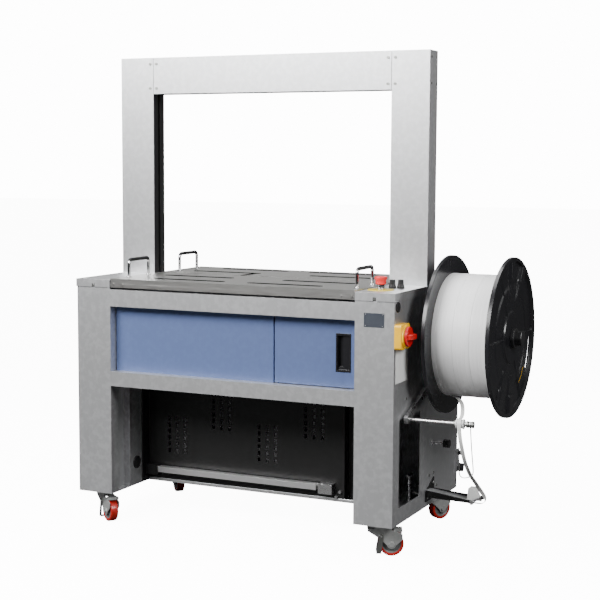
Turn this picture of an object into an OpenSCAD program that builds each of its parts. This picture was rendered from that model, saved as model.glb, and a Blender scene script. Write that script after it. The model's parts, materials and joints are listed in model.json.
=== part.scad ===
// Arch type strapping machine on casters: table, strap arch, strap reel and tension arm.
// Working axes: X across the machine with 0 at the arch centre, Y from the legs' front face
// towards the back, Z up from the floor. place() moves this frame so that the origin is the
// centre of the whole machine's footprint. Millimetres and degrees.

/* [Body] */
// Width over both legs
body_w = 1100; // [1096:1:1104]
// Depth of the legs
body_d = 590; // [589:1:591]
// Width of a leg seen from the front
leg_w = 125; // [124:1:126]
// Height of the legs' underside above the floor
leg_z0 = 102; // [102:1:103]
// Height of the legs' top
leg_z1 = 775; // [775:0.5:776]
// Height of the end caps' top
cap_z = 800; // [799:0.5:800]
// Depth of the end caps, from the front to the arch
cap_d = 274; // [273:1:274]
// How far the end caps stand out past the legs
cap_over = 2.5; // [1.5:0.5:3]
// Thickness of the painted sheet metal
sheet = 3; // [2.5:0.5:3]

/* [Table] */
// Height of the table surface
table_z = 804; // [803:1:805]
// Thickness of the stainless table plates
plate_t = 2.5; // [2:0.5:3]
// Back edge of the front plate
front_plate_end = 302; // [301:1:303]
// Front edge of the rear plate
rear_plate_start = 316; // [315:1:317]
// Length of a table slot
slot_len = 245; // [230:5:250]
// Width of a table slot
slot_w = 16; // [14:1:18]
// Height of the lifting handles above the table
handle_h = 62; // [56:1:66]

/* [Arch] */
// Height of the machine
arch_h = 1520; // [1500:5:1540]
// Front face of the arch
arch_y0 = 274; // [274:1:275]
// Depth of the arch section
arch_t = 70; // [70:1:72]
// Height of the beam at the top
beam_h = 120; // [110:5:120]

/* [Panels] */
// Height of the upper rail's top
upper_rail_top = 769; // [767:1:769]
// Height of the upper rail's underside
upper_rail_low = 715; // [713:1:716]
// Height of the lower rail's top
lower_rail_top = 504; // [502:1:505]
// Height of the lower rail's underside
lower_rail_low = 457; // [450:1:460]
// Distance of the blue panels behind the legs' front
panel_y = 33; // [31:1:35]
// Distance of the vented panel behind the legs' front
vent_y = 232; // [230:1:233]

/* [Reel] */
// Distance of the reel axis behind the legs' front
reel_y = 305; // [304:1:306]
// Height of the reel axis
reel_z = 652; // [650:1:654]
// Diameter of the reel flanges
reel_d = 488; // [480:2:492]
// Diameter of the strap wound on the reel
roll_d = 378; // [370:2:384]

/* [Casters] */
// Diameter of the wheels
wheel_d = 75; // [74:1:76]
// Width of the tyres
wheel_w = 26; // [24:1:26]
// Distance of a wheel's axle from its swivel axis
trail = 35; // [34:1:36]

/* [Hidden] */
$fn = 48;

// Centre of the footprint: the reel nut reaches furthest to the right, a cover knob to the back
footprint_x = 148;
footprint_y = 305;

hw = body_w / 2;
in_x = hw - leg_w;
arch_y1 = arch_y0 + arch_t;
beam_z = arch_h - beam_h;
arch_mid = arch_y0 + arch_t / 2;

// Running clearance on a radius, and the gap between parts that pass each other
fit = 0.05;
gap = 0.3;
// Small overlap that lets a cut run past a face
cut = 1;

// Strap track: width of its ring and its groove, below-table part narrower
track_t = 18;
groove_w = 13;
groove_depth = 12;
track_low = 752;
track_neck_w = 28;
track_bed = 788;
head_x0 = -130;
head_x1 = 50;

// Table plates
plate_x = in_x - 1.5;
plate_under = table_z - plate_t;
hinge_y_front = 12;
hinge_y_rear = body_d - 12;
hinge_z = 788;
hinge_r = 4;
fold_z = 776;
handle_x = in_x - 25;
handle_rod = 10;
foot_r = 8;
handle_y_front = [75, 195];
handle_y_rear = [400, 520];

// Front door hinge
door_x0 = 147;
door_x1 = in_x - 2;
door_z0 = lower_rail_top + 2.5;
door_z1 = upper_rail_low - 2.5;
door_pin_x = 155;
door_pin_y = panel_y + 8;
door_pin_r = 3;
rail_depth = 50;
pull_x0 = 353;
pull_x1 = 398;
pull_z0 = 555;
pull_z1 = 668;

// Controls on the right end cap and the right leg
estop_at = [472, 86];
knob_at = [[480, 160], [504, 168]];
switch_y = 34;
switch_z = 672;

// Foot bar
bar_y = 222;
bar_z = 152;
bar_x0 = -372;
bar_x1 = 210;

// Reel, from the leg's side outwards
axle_r = 15;
flange_in = 609;
roll_x0 = 621;
roll_x1 = 804;
flange_out = 816;
nut_end = 848;
core_r = 100;
web_t = 4;
window_r0 = 192;
window_r1 = 218;
window_from = [-52, 128];
window_angle = 46;

// Tension arm
arm_y = 300;
arm_z = 505;
rod_y0 = 84;
rod_z0 = 418;
arm_x0 = 556;
arm_x1 = 568;
rod_end = 770;
roller_x0 = 716;
roller_x1 = 740;
arm_pin_r = 6;

// Lower guide
guide_root_z = 158;
guide_tip_x = 702;
guide_tip_z = 140;
guide_y0 = 288;
guide_y1 = 322;
tip_x = 727;
tip_z = 146;

// Strapping head and drive
shaft_x = -40;
shaft_z = 680;
motor_z = 520;
pulley_r = 60;
pinion_r = 20;
pulley_y0 = 385;
pulley_y1 = 395;

// Casters: swivel positions and the directions in which they trail
caster_x = hw - 63;
caster_y_front = 62;
caster_y_rear = 520;
trail_fl = -34;
trail_fr = 25;
trail_rl = -45;
trail_rr = 60;
axle_z = wheel_d / 2;
fork_top = 90.7;

// Strap: width, thickness and its way from the reel to the inlet, as x, y, z and the
// direction of its width in degrees from X
strap_w = 12;
strap_t = 0.8;
STRAP_ROUTE = [
    [640, 258, 467.5, 0], [668, 228, 469, 0], [694, 190, 463, 0], [712, 150, 454, 0],
    [723, 116, 443, 0], [727, 96, 436, 0], [728, 84, 434.2, 0], [728, 77.8, 433, 0],
    [728.3, 72.5, 429.5, 0], [728.6, 69, 424.2, 0], [729, 67.8, 418, 0], [730, 67.8, 404, 0],
    [733, 71, 372, 0], [735, 84, 340, 0],
    [735, 106, 306, 3], [735, 134, 276, 8], [735, 166, 248, 16], [737, 204, 220, 28],
    [739, 242, 192, 45], [741, 274, 168, 65], [741.5, 292, 155, 80], [741, 301, 146, 88],
    [737, 305, 136, 90], [728, 305, 130.5, 90], [712, 305, 129.6, 90], [660, 305, 132, 90],
    [600, 305, 136, 90], [548, 305, 139, 90], [500, 305, 140, 90]];

// Bail: from the eye on the rod down, under the strap and up again on its left
BAIL_ROUTE = [
    [758.5, 85.5, 411], [758.5, 91, 381], [758.5, 98, 349], [758.5, 107, 316], [758.5, 116, 285],
    [757.5, 121, 270], [754, 125, 260], [747, 127, 254], [738, 129, 250], [728, 130, 247.5],
    [720, 130.5, 248], [714.5, 129, 253], [713, 126, 261], [714.5, 121, 272], [716, 114, 294],
    [716, 106, 322]];

PAINT = [0.68, 0.69, 0.70];
BLUE = [0.42, 0.52, 0.68];
DARK = [0.10, 0.10, 0.11];
STEEL = [0.72, 0.72, 0.71];

// ---- Helpers -------------------------------------------------------------------------------

// Moves the working frame so that the origin is the footprint's centre
module place() { translate([-footprint_x, -footprint_y, 0]) children(); }

// A box given by its lowest and its highest corner
module box(low, high) { translate(low) cube(high - low); }

// Rods that start at a point and run along an axis
module rod_x(at, r, len) { translate(at) rotate([0, 90, 0]) cylinder(r = r, h = len); }
module rod_y(at, r, len) { translate(at) rotate([-90, 0, 0]) cylinder(r = r, h = len); }
module rod_z(at, r, len) { translate(at) cylinder(r = r, h = len); }

// A child and its mirror image on the other side of the machine
module both_sides() {
    children();
    mirror([1, 0, 0]) children();
}

// Points of a ring around the wire's i-th point; the wire lies mostly in one upright plane
function bend_dir(p, i) =
    let (d = p[min(i + 1, len(p) - 1)] - p[max(i - 1, 0)]) d / norm(d);
function wire_ring(p, i, r, n) =
    let (t = bend_dir(p, i), u = cross([0, 1, 0], t), a = u / norm(u), b = cross(t, a))
    [for (k = [0:n - 1]) p[i] + r * (cos(360 * k / n) * a + sin(360 * k / n) * b)];

// A wire of radius r swept along a list of points
module wire(p, r) {
    n = 8;
    last = len(p) - 1;
    points = [for (i = [0:last]) each wire_ring(p, i, r, n)];
    sides = [for (i = [0:last - 1], k = [0:n - 1]) let (a = n * i + k, b = n * i + (k + 1) % n)
        each [[a, a + n, b], [b, a + n, b + n]]];
    ends = [[for (k = [0:n - 1]) k], [for (k = [n - 1:-1:0]) n * last + k]];
    polyhedron(points, concat(sides, ends));
}

// A slot with round ends along X, cut through a horizontal plate
module long_slot(x0, y) {
    r = slot_w / 2;
    linear_extrude(2 * plate_t + 2 * cut) union() {
        translate([x0 + r, y - r]) square([slot_len - slot_w, slot_w]);
        translate([x0 + r, y]) circle(r);
        translate([x0 + slot_len - r, y]) circle(r);
    }
}

// A rectangle with round corners
module round_rect(w, h, r) {
    union() {
        translate([r, 0]) square([w - 2 * r, h]);
        translate([0, r]) square([w, h - 2 * r]);
        for (x = [r, w - r], y = [r, h - r]) translate([x, y]) circle(r);
    }
}

// Screw heads with a hexagon socket, standing on a face that looks to -Y, +Y or +X
module screw_head(r, h) {
    difference() {
        cylinder(r = r, h = h);
        translate([0, 0, h / 2]) cylinder(r = r * 0.5, h = h, $fn = 6);
    }
}
module screw_front(at, r = 4.5, h = 2.5) { translate(at) rotate([90, 0, 0]) screw_head(r, h); }
module screw_back(at, r = 4.5, h = 2.5) { translate(at) rotate([-90, 0, 0]) screw_head(r, h); }
module screw_side(at, r = 4.5, h = 2.5) { translate(at) rotate([0, 90, 0]) screw_head(r, h); }

// ---- Body ----------------------------------------------------------------------------------

// Leg on the right side, a sheet metal case; its outer sheet ends at side_end
module leg(side_end) {
    recess_y0 = 41;
    recess_y1 = 112;
    recess_x = in_x + 24;
    recess_z1 = lower_rail_low - 5;
    difference() {
        union() {
            box([in_x, 0, leg_z0], [hw, sheet, leg_z1]);
            box([hw - sheet, sheet, leg_z0], [hw, side_end, leg_z1]);
            box([in_x, sheet, leg_z0], [in_x + sheet, body_d, leg_z1]);
            box([in_x + sheet, body_d - sheet, leg_z0], [hw - sheet, body_d, leg_z1]);
            box([in_x + sheet, sheet, leg_z0], [hw - sheet, body_d - sheet, leg_z0 + sheet]);
            box([in_x + sheet, sheet, leg_z1 - sheet], [hw - sheet, body_d - sheet, leg_z1]);
            box([in_x + sheet, recess_y0 - sheet, leg_z0 + sheet], [recess_x, recess_y0, recess_z1]);
            box([in_x + sheet, recess_y1, leg_z0 + sheet], [recess_x, recess_y1 + sheet, recess_z1]);
            box([recess_x, recess_y0 - sheet, leg_z0 + sheet],
                [recess_x + sheet, recess_y1 + sheet, recess_z1]);
            // tab of the rear plate's hinge
            box([in_x, hinge_y_rear - 13, leg_z1], [in_x + sheet, body_d, cap_z]);
        }
        box([in_x - cut, recess_y0, leg_z0 + sheet], [in_x + sheet, recess_y1, recess_z1]);
        rod_x([in_x - cut, hinge_y_rear, hinge_z], hinge_r + fit, sheet + 2 * cut);
        track_notch();
    }
}

// Room for the strap track where it dives below the table
module track_notch() {
    half = track_neck_w / 2 + 1;
    box([in_x - cut, arch_mid - half, track_low - 1],
        [in_x + track_t + 1, arch_mid + half, leg_z1 + 2 * sheet]);
}

module left_leg() {
    plug_y = 153;
    plug_z = 178;
    color(PAINT) place() mirror([1, 0, 0]) leg(body_d);
    // rubber plug in the inner side
    color(DARK) place() mirror([1, 0, 0]) rod_x([in_x - 3, plug_y, plug_z], 21, 3);
}

module right_leg() {
    window_y0 = 51;
    window_y1 = 233;
    window_z0 = 152;
    window_z1 = 420;
    gland_y = 24;
    gland_z = 758;
    color(PAINT) place() difference() {
        leg(cap_d - 12);
        translate([hw - sheet - cut, window_y0, window_z0]) rotate([90, 0, 90])
            linear_extrude(sheet + 2 * cut) round_rect(window_y1 - window_y0, window_z1 - window_z0, 6);
        rod_x([hw - sheet - cut, gland_y, gland_z], 12.5, sheet + 2 * cut);
        rod_x([hw - sheet - cut, switch_y, switch_z], 8, sheet + 2 * cut);
    }
}

module table_end_caps() {
    far = hw + cap_over;
    color(PAINT) place() difference() {
        both_sides() difference() {
            union() {
                box([in_x, -cap_over, cap_z - sheet], [far, cap_d, cap_z]);
                box([in_x, -cap_over, leg_z1], [far, 0, cap_z - sheet]);
                box([hw, 0, leg_z1], [far, cap_d, cap_z - sheet]);
                box([in_x, 0, leg_z1], [in_x + sheet, cap_d, cap_z - sheet]);
                box([in_x + sheet, cap_d - sheet, leg_z1], [hw, cap_d, cap_z - sheet]);
            }
            rod_x([in_x - cut, hinge_y_front, hinge_z], hinge_r + fit, sheet + 2 * cut);
            // key notch over the fixing screw
            box([hw - 68, -cap_over - cut, leg_z1 - cut], [hw - 58, cut, leg_z1 + 11]);
        }
        rod_z([estop_at.x, estop_at.y, cap_z - sheet - cut], 11.5, sheet + 2 * cut);
        for (k = knob_at) rod_z([k.x, k.y, cap_z - sheet - cut], 3 + fit, sheet + 2 * cut);
    }
}

// A folded rail with its open side to the back
module rail(z0, z1) {
    box([-in_x, 0, z0], [in_x, sheet, z1]);
    box([-in_x, sheet, z0], [in_x, rail_depth, z0 + sheet]);
    box([-in_x, sheet, z1 - sheet], [in_x, rail_depth, z1]);
}

module front_rails() {
    bore = door_pin_r + fit;
    color(PAINT) place() difference() {
        union() {
            rail(upper_rail_low, upper_rail_top);
            rail(lower_rail_low, lower_rail_top);
        }
        rod_z([door_pin_x, door_pin_y, lower_rail_top - sheet - cut], bore, sheet + 2 * cut);
        rod_z([door_pin_x, door_pin_y, upper_rail_low - cut], bore, sheet + 2 * cut);
    }
}

// A shallow tray with its face to the front
module tray(x0, x1, z0, z1) {
    depth = 15;
    difference() {
        box([x0, panel_y, z0], [x1, panel_y + depth, z1]);
        box([x0 + plate_t, panel_y + plate_t, z0 + plate_t],
            [x1 - plate_t, panel_y + depth + cut, z1 - plate_t]);
    }
}

module left_front_panel() {
    color(BLUE) place() {
        tray(-in_x + 2, door_x0 - 4.5, lower_rail_top, upper_rail_low);
        // lugs that join it to the left leg
        for (z = [540, 660]) box([-in_x, panel_y + 4, z], [-in_x + 2, panel_y + 14, z + 20]);
    }
}

module front_door() {
    color(BLUE) place() {
        difference() {
            tray(door_x0, door_x1, door_z0, door_z1);
            box([pull_x0, panel_y - cut, pull_z0], [pull_x1, panel_y + 5, pull_z1]);
        }
        rod_z([door_pin_x, door_pin_y, lower_rail_top - 4], door_pin_r, upper_rail_low - lower_rail_top + 8);
    }
}

module door_pull() {
    rim = 2;
    color(DARK) place() difference() {
        union() {
            box([pull_x0 - rim, panel_y - 1.5, pull_z0 - rim], [pull_x1 + rim, panel_y, pull_z1 + rim]);
            box([pull_x0, panel_y, pull_z0], [pull_x1, panel_y + 14, pull_z1]);
        }
        box([pull_x0 + 3, panel_y - 2, pull_z0 + 5], [pull_x1 - 3, panel_y + 5, pull_z1 - 5]);
        box([pull_x0 + 6, panel_y, pull_z0 + 13], [pull_x0 + 19, panel_y + 12, pull_z1 - 7]);
    }
}

module vent_panel() {
    corner_x = 297;
    back_y = vent_y + 38;
    top_z = lower_rail_top - 4;
    side_y = 187;
    groups = [[-314, 204], [-146, 297], [23, 204], [190, 297]];
    color(DARK) place() difference() {
        union() {
            box([-in_x, vent_y, leg_z0 + sheet], [corner_x, vent_y + plate_t, top_z]);
            box([corner_x - plate_t, vent_y + plate_t, leg_z0 + sheet], [corner_x, back_y, top_z]);
            box([corner_x, back_y - plate_t, leg_z0 + sheet], [in_x, back_y, top_z]);
            box([-in_x, side_y, leg_z0 + sheet], [-in_x + plate_t, vent_y, top_z]);
            box([in_x - plate_t, side_y, leg_z0 + sheet], [in_x, back_y - plate_t, top_z]);
            // ceiling of the bay
            box([-in_x, rail_depth, top_z], [in_x, back_y, top_z + plate_t]);
        }
        for (g = groups, column = [-30, 0, 30], row = [0:5])
            box([g.x + column - 4.5, vent_y - cut, g.y + 21.7 * row],
                [g.x + column + 4.5, vent_y + plate_t + cut, g.y + 21.7 * row + 13]);
    }
}

module base_tray() {
    lip_top = 113;
    color(PAINT) place() {
        box([-in_x, vent_y - 3, leg_z0], [in_x, body_d, leg_z0 + sheet]);
        box([plate_t - in_x, vent_y - 3, leg_z0 + sheet], [in_x - plate_t, vent_y, lip_top]);
    }
}

module rear_panel() {
    top_z = 768;
    louvre_z = [for (i = [0:7]) 250 + 22 * i];
    color(PAINT) place() difference() {
        box([-in_x, body_d - sheet, leg_z0 + sheet], [in_x, body_d, top_z]);
        for (x = [-260, 140], z = louvre_z)
            box([x, body_d - sheet - cut, z], [x + 120, body_d + cut, z + 6]);
    }
}

module right_rear_cover() {
    seam_y = cap_d - 11.4;
    color(PAINT) place() {
        difference() {
            box([hw - sheet, seam_y, leg_z0], [hw, body_d, leg_z1]);
            box([hw - sheet - cut, 294, 130], [hw + cut, 316, 150]);
        }
        // stud that carries the tension arm
        rod_x([hw, arm_y, arm_z], 16, arm_x0 - gap - hw);
        rod_x([arm_x0 - gap, arm_y, arm_z], arm_pin_r, arm_x1 - arm_x0 + 2 * gap);
        rod_x([arm_x1 + gap, arm_y, arm_z], 10, 4);
    }
}

// ---- Arch ----------------------------------------------------------------------------------

module arch_column() {
    difference() {
        union() {
            box([in_x, arch_y0, leg_z1], [hw, arch_y0 + sheet, arch_h]);
            box([in_x, arch_y1 - sheet, leg_z1], [hw, arch_y1, arch_h]);
            box([hw - sheet, arch_y0 + sheet, leg_z1], [hw, arch_y1 - sheet, arch_h]);
            box([in_x, arch_y0 + sheet, arch_h - sheet], [hw - sheet, arch_y1 - sheet, arch_h]);
            box([in_x, arch_y0 + sheet, leg_z1], [hw - sheet, arch_y1 - sheet, leg_z1 + sheet]);
            box([in_x, arch_y0 + sheet, beam_z + track_t], [in_x + sheet, arch_y1 - sheet, arch_h - sheet]);
        }
        track_notch();
    }
}

module arch_left_column() { color(PAINT) place() mirror([1, 0, 0]) arch_column(); }

module arch_right_column() { color(PAINT) place() arch_column(); }

module arch_beam() {
    end_x = in_x - 0.4;
    color(PAINT) place() {
        box([-end_x, arch_y0, beam_z], [end_x, arch_y0 + sheet, arch_h]);
        box([-end_x, arch_y1 - sheet, beam_z], [end_x, arch_y1, arch_h]);
        box([-end_x, arch_y0 + sheet, arch_h - sheet], [end_x, arch_y1 - sheet, arch_h]);
    }
}

module strap_track() {
    out_x = in_x + track_t;
    foot_z = leg_z1 + sheet;
    neck_y0 = arch_mid - track_neck_w / 2;
    neck_y1 = arch_mid + track_neck_w / 2;
    groove_y0 = arch_mid - groove_w / 2;
    groove_y1 = arch_mid + groove_w / 2;
    color(DARK) place() difference() {
        union() {
            both_sides() {
                box([in_x, arch_y0 + sheet, foot_z], [out_x, arch_y1 - sheet, beam_z + track_t]);
                box([in_x, neck_y0, track_low], [out_x, neck_y1, foot_z]);
            }
            box([-in_x, arch_y0 + sheet, beam_z], [in_x, arch_y1 - sheet, beam_z + track_t]);
            box([-in_x, neck_y0, track_low], [in_x, neck_y1, track_bed]);
        }
        // groove that opens towards the middle of the arch
        box([-in_x - groove_depth, groove_y0, track_bed - groove_depth],
            [in_x + groove_depth, groove_y1, beam_z + groove_depth]);
        // room for the strapping head
        box([head_x0 - 10, neck_y0 - cut, track_low - cut], [head_x1 + 10, neck_y1 + cut, track_bed + cut]);
    }
}

// ---- Table ---------------------------------------------------------------------------------

// Holes that the handles' feet are welded into
module handle_holes(ys) {
    for (y = ys) both_sides() rod_z([handle_x, y, plate_under - cut], foot_r + fit, plate_t + 2 * cut);
}

module front_top() {
    flange_y = front_plate_end - 16;
    slots = [[-300, 76], [36, 76], [-336, 205], [95, 205]];
    screws = [in_x - 12, in_x - 46];
    color(STEEL) place() {
        difference() {
            union() {
                box([-plate_x, 0, plate_under], [plate_x, front_plate_end, table_z]);
                box([-plate_x, 0, fold_z], [plate_x, plate_t, plate_under]);
                box([-plate_x, flange_y, hinge_z + 1], [plate_x, flange_y + plate_t, plate_under]);
                both_sides() box([plate_x - plate_t, plate_t, fold_z + 4],
                    [plate_x, flange_y, plate_under]);
                both_sides() rod_x([plate_x - plate_t, hinge_y_front, hinge_z], hinge_r, in_x + 7 - plate_x);
            }
            for (s = slots) translate([0, 0, plate_under - cut]) long_slot(s.x, s.y);
            handle_holes(handle_y_front);
        }
        for (x = screws) both_sides() screw_front([x, 0, 786], 4, 2);
    }
}

module rear_top() {
    flange_y = rear_plate_start + 13.5;
    slots = [[-340, 405], [97, 405], [-298, 535], [34, 535]];
    color(STEEL) place() difference() {
        union() {
            box([-plate_x, rear_plate_start, plate_under], [plate_x, body_d, table_z]);
            box([-plate_x, body_d - plate_t, fold_z], [plate_x, body_d, plate_under]);
            box([-plate_x, flange_y, hinge_z + 1], [plate_x, flange_y + plate_t, plate_under]);
            both_sides() box([plate_x - plate_t, flange_y + plate_t, fold_z + 4],
                [plate_x, body_d - plate_t, plate_under]);
            both_sides() rod_x([plate_x - plate_t, hinge_y_rear, hinge_z], hinge_r, in_x + 7 - plate_x);
        }
        for (s = slots) translate([0, 0, plate_under - cut]) long_slot(s.x, s.y);
        handle_holes(handle_y_rear);
        // notch that joins the strap gap to a slot over the head
        box([-120, rear_plate_start - cut, plate_under - cut], [-98, 405, table_z + cut]);
        box([-120, flange_y - cut, hinge_z], [-98, flange_y + plate_t + cut, table_z]);
    }
}

// Lifting handle along Y between two posts
module handle(x, y0, y1) {
    r = handle_rod / 2;
    bend = 14;
    top = table_z + handle_h - r;
    for (y = [y0, y1]) {
        rod_z([x, y, table_z], r, top - bend - table_z);
        rod_z([x, y, plate_under], foot_r, plate_t + 3);
    }
    rod_y([x, y0 + bend, top], r, y1 - y0 - 2 * bend);
    translate([x, y0 + bend, top - bend]) rotate([90, 0, -90])
        rotate_extrude(angle = 90) translate([bend, 0]) circle(r);
    translate([x, y1 - bend, top - bend]) rotate([90, 0, 90])
        rotate_extrude(angle = 90) translate([bend, 0]) circle(r);
}

module front_top_handles() { color(DARK) place() both_sides() handle(handle_x, handle_y_front[0], handle_y_front[1]); }

module rear_top_handles() { color(DARK) place() both_sides() handle(handle_x, handle_y_rear[0], handle_y_rear[1]); }

// ---- Fittings ------------------------------------------------------------------------------

module casing_screws() {
    corner_z = [arch_h - 21, beam_z + 19];
    color(STEEL) place() {
        for (z = corner_z) {
            both_sides() for (x = [in_x - 12, in_x + 12]) {
                screw_front([x, arch_y0, z]);
                screw_back([x, arch_y1, z]);
            }
            both_sides() screw_side([hw, arch_y0 + 12, z], 3.5, 2);
            both_sides() screw_side([hw, arch_y1 - 12, z], 3.5, 2);
        }
        both_sides() screw_front([hw - 63, 0, leg_z1 + 6], 3.5, 2);
        screw_side([hw, 105, 476], 4, 2);
        for (p = [[316, 199], [354, 200], [384, 154]]) screw_side([hw, p.x, p.y]);
        for (z = [130, 430, 745]) {
            screw_side([hw, body_d - 14, z], 4, 2);
            both_sides() screw_back([in_x - 14, body_d, z], 4, 2);
        }
    }
}

module cable_gland() {
    color(DARK) place() {
        rod_x([hw, 24, 758], 15, 4);
        rod_x([hw - 7, 24, 758], 12.2, 7);
    }
}

module cover_knobs() {
    bracket_y = [body_d - 24, body_d + 15];
    color(DARK) place() {
        // stud with a black knob
        rod_x([hw, 340, 300], 5, 42);
        rod_x([hw, 340, 300], 9, 3);
        rod_x([hw + 40, 340, 300], 13, 18);
        // bracket with two knobs at the rear edge
        box([hw, bracket_y[0], 155], [hw + sheet, bracket_y[1], 232]);
        rod_x([hw + sheet, body_d + 6, 218], 8, 10);
        rod_x([hw + sheet, body_d + 8, 169], 14, 15);
        // guide post with a cross handle behind the window
        rod_z([500, 275, leg_z0 + sheet], 4, 98);
        rod_y([500, 255, 203], 4, 40);
    }
}

module estop_base() {
    color([0.85, 0.72, 0.1]) place() translate([estop_at.x, estop_at.y, 0]) difference() {
        union() {
            rod_z([0, 0, cap_z], 40, 2);
            rod_z([0, 0, cap_z - 14], 11.3, 31.5);
            rod_z([0, 0, cap_z - sheet - 7], 15, 7);
        }
        rod_z([0, 0, cap_z - 12], 5 + fit, 32);
    }
}

module estop_button() {
    color([0.8, 0.12, 0.12]) place() translate([estop_at.x, estop_at.y, 0]) difference() {
        union() {
            rod_z([0, 0, cap_z + 18], 16, 14);
            rod_z([0, 0, cap_z + 32], 19, 9);
            rod_z([0, 0, cap_z - 5], 5, 24);
        }
        difference() {
            rod_z([0, 0, cap_z + 17], 12.3, 7);
            rod_z([0, 0, cap_z + 16], 5, 9);
        }
    }
}

// Black control knob with a pointer rib
module control_knob(at) {
    foot = cap_z + gap;
    color(DARK) place() translate([at.x, at.y, 0]) {
        rod_z([0, 0, foot], 12, 3);
        translate([0, 0, foot + 3]) cylinder(r1 = 12, r2 = 9.5, h = 8);
        rod_z([0, 0, foot + 11], 8.5, 15);
        box([-1.5, -9.5, foot + 11], [1.5, 0, foot + 26.5]);
        rod_z([0, 0, cap_z - 12], 3, 12 + gap);
    }
}

module left_control_knob() { control_knob(knob_at[0]); }

module right_control_knob() { control_knob(knob_at[1]); }

module main_switch_body() {
    side = 74;
    out = 28;
    color([0.93, 0.76, 0.1]) place() difference() {
        union() {
            translate([hw, switch_y - side / 2 + 1, switch_z - side / 2]) rotate([90, 0, 90])
                linear_extrude(out - 6) round_rect(side - 2, side, 8);
            rod_x([hw + out - 6, switch_y, switch_z], 34, 6);
            rod_x([hw - 14, switch_y, switch_z], 7.5, 14);
        }
        rod_x([hw + 2, switch_y, switch_z], 6 + fit, out);
    }
}

module main_switch_knob() {
    face = hw + 28 + gap;
    color([0.8, 0.1, 0.1]) place() {
        rod_x([face, switch_y, switch_z], 30, 8);
        rod_x([hw + 6, switch_y, switch_z], 6, face - hw - 6);
        box([face + 8, switch_y - 26, switch_z - 8], [face + 21, switch_y + 26, switch_z + 8]);
    }
}

// ---- Foot bar ------------------------------------------------------------------------------

module foot_bar() {
    y0 = bar_y - 20;
    y1 = bar_y + 3;
    z0 = bar_z - 13;
    z1 = bar_z + 6;
    wall = 2;
    color(STEEL) place() {
        difference() {
            box([bar_x0, y0, z0], [bar_x1, y1, z1]);
            box([bar_x0 + 6, y0 + wall, z0 - cut], [bar_x1 - 6, y1 - wall, z1 - wall]);
        }
        rod_x([bar_x0 - 16, bar_y, bar_z], hinge_r, 20);
        rod_x([bar_x1 - 4, bar_y, bar_z], hinge_r, 20);
    }
}

module foot_bar_mounts() {
    block_y0 = bar_y - 14;
    z0 = 127;
    z1 = 160;
    color(DARK) place() {
        difference() {
            union() {
                box([-in_x + 2.5, block_y0, z0], [bar_x0 - 5, vent_y, z1]);
                box([bar_x1 + 5, block_y0, z0], [bar_x1 + 53, vent_y, z1]);
            }
            rod_x([bar_x0 - 20, bar_y, bar_z], hinge_r + fit, 20);
            rod_x([bar_x1, bar_y, bar_z], hinge_r + fit, 22);
        }
        rod_y([283, vent_y - 7, 135], 5, 7);
        rod_y([270, vent_y - 7, 118], 5, 7);
    }
}

// ---- Reel ----------------------------------------------------------------------------------

module reel_axle() {
    plate = [80, 120];
    color(STEEL) place() translate([0, reel_y, reel_z]) {
        box([hw, -plate.x / 2, -plate.y / 2], [hw + 6, plate.x / 2, plate.y / 2]);
        rod_x([hw + 6, 0, 0], 30, 14);
        rod_x([hw + 20, 0, 0], 22, flange_in - gap - hw - 20);
        rod_x([flange_in - gap, 0, 0], axle_r, nut_end - 8 - flange_in);
        for (y = [-28, 28], z = [-48, 48]) screw_side([hw + 6, y, z], 6, 4);
    }
}

// Arc shaped windows near the rim of a flange
module rim_windows() {
    len = flange_out - roll_x1 + 2 * cut;
    for (a = window_from) rotate([a, 0, 0]) translate([-cut, 0, 0]) rotate([90, 0, 90])
        rotate_extrude(angle = window_angle, $fn = 96) translate([window_r0, 0])
            square([window_r1 - window_r0, len]);
}

// Flange: dished web, thick rim and four broad ribs; its flat side is at x = 0
module flange(hub_r) {
    rim = 12;
    r = reel_d / 2;
    difference() {
        union() {
            rotate([90, 0, 90]) difference() {
                cylinder(r = r, h = rim, $fn = 96);
                translate([0, 0, web_t]) cylinder(r = r - 12, h = rim, $fn = 96);
            }
            rotate([90, 0, 90]) cylinder(r = core_r - 22, h = rim - 2, $fn = 96);
            // wide ribs that step up towards the rim, then plain ribs
            for (a = [60, 90, 240, 270]) rotate([a - 90, 0, 0]) translate([0, 22, 0]) rotate([90, 0, 0])
                linear_extrude(44)
                    polygon([[1, 108], [rim - 4, 108], [rim - 4, 178], [rim - 1, 178], [rim - 1, r - 8], [1, r - 8]]);
            for (a = [0, 120, 180, 300]) rotate([a - 90, 0, 0]) box([1, -3, 60], [rim - 4, 3, r - 7]);
            rod_x([0, 0, 0], hub_r, rim);
        }
        rod_x([-cut, 0, 0], axle_r + fit, rim + 2 * cut);
    }
}

module reel_inner_flange() {
    color(DARK) place() translate([0, reel_y, reel_z]) {
        translate([roll_x0, 0, 0]) mirror([1, 0, 0]) flange(28);
        // hub tube and core drum that carry the roll
        difference() {
            rod_x([roll_x0, 0, 0], axle_r + 6, roll_x1 - roll_x0);
            rod_x([roll_x0 - cut, 0, 0], axle_r + fit, roll_x1 - roll_x0 + 2 * cut);
        }
        difference() {
            rod_x([roll_x0, 0, 0], core_r, roll_x1 - roll_x0, $fn = 96);
            rod_x([roll_x0 - cut, 0, 0], core_r - 4, roll_x1 - roll_x0 + 2 * cut, $fn = 96);
        }
    }
}

module strap_roll() {
    color([0.9, 0.9, 0.9]) place() translate([0, reel_y, reel_z]) difference() {
        rod_x([roll_x0 + gap, 0, 0], roll_d / 2, roll_x1 - roll_x0 - 2 * gap, $fn = 96);
        rod_x([roll_x0 - cut, 0, 0], core_r + fit, roll_x1 - roll_x0 + 2 * cut, $fn = 96);
    }
}

module reel_outer_flange() {
    color(DARK) place() translate([roll_x1, reel_y, reel_z]) difference() {
        flange(34);
        rim_windows();
    }
}

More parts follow.
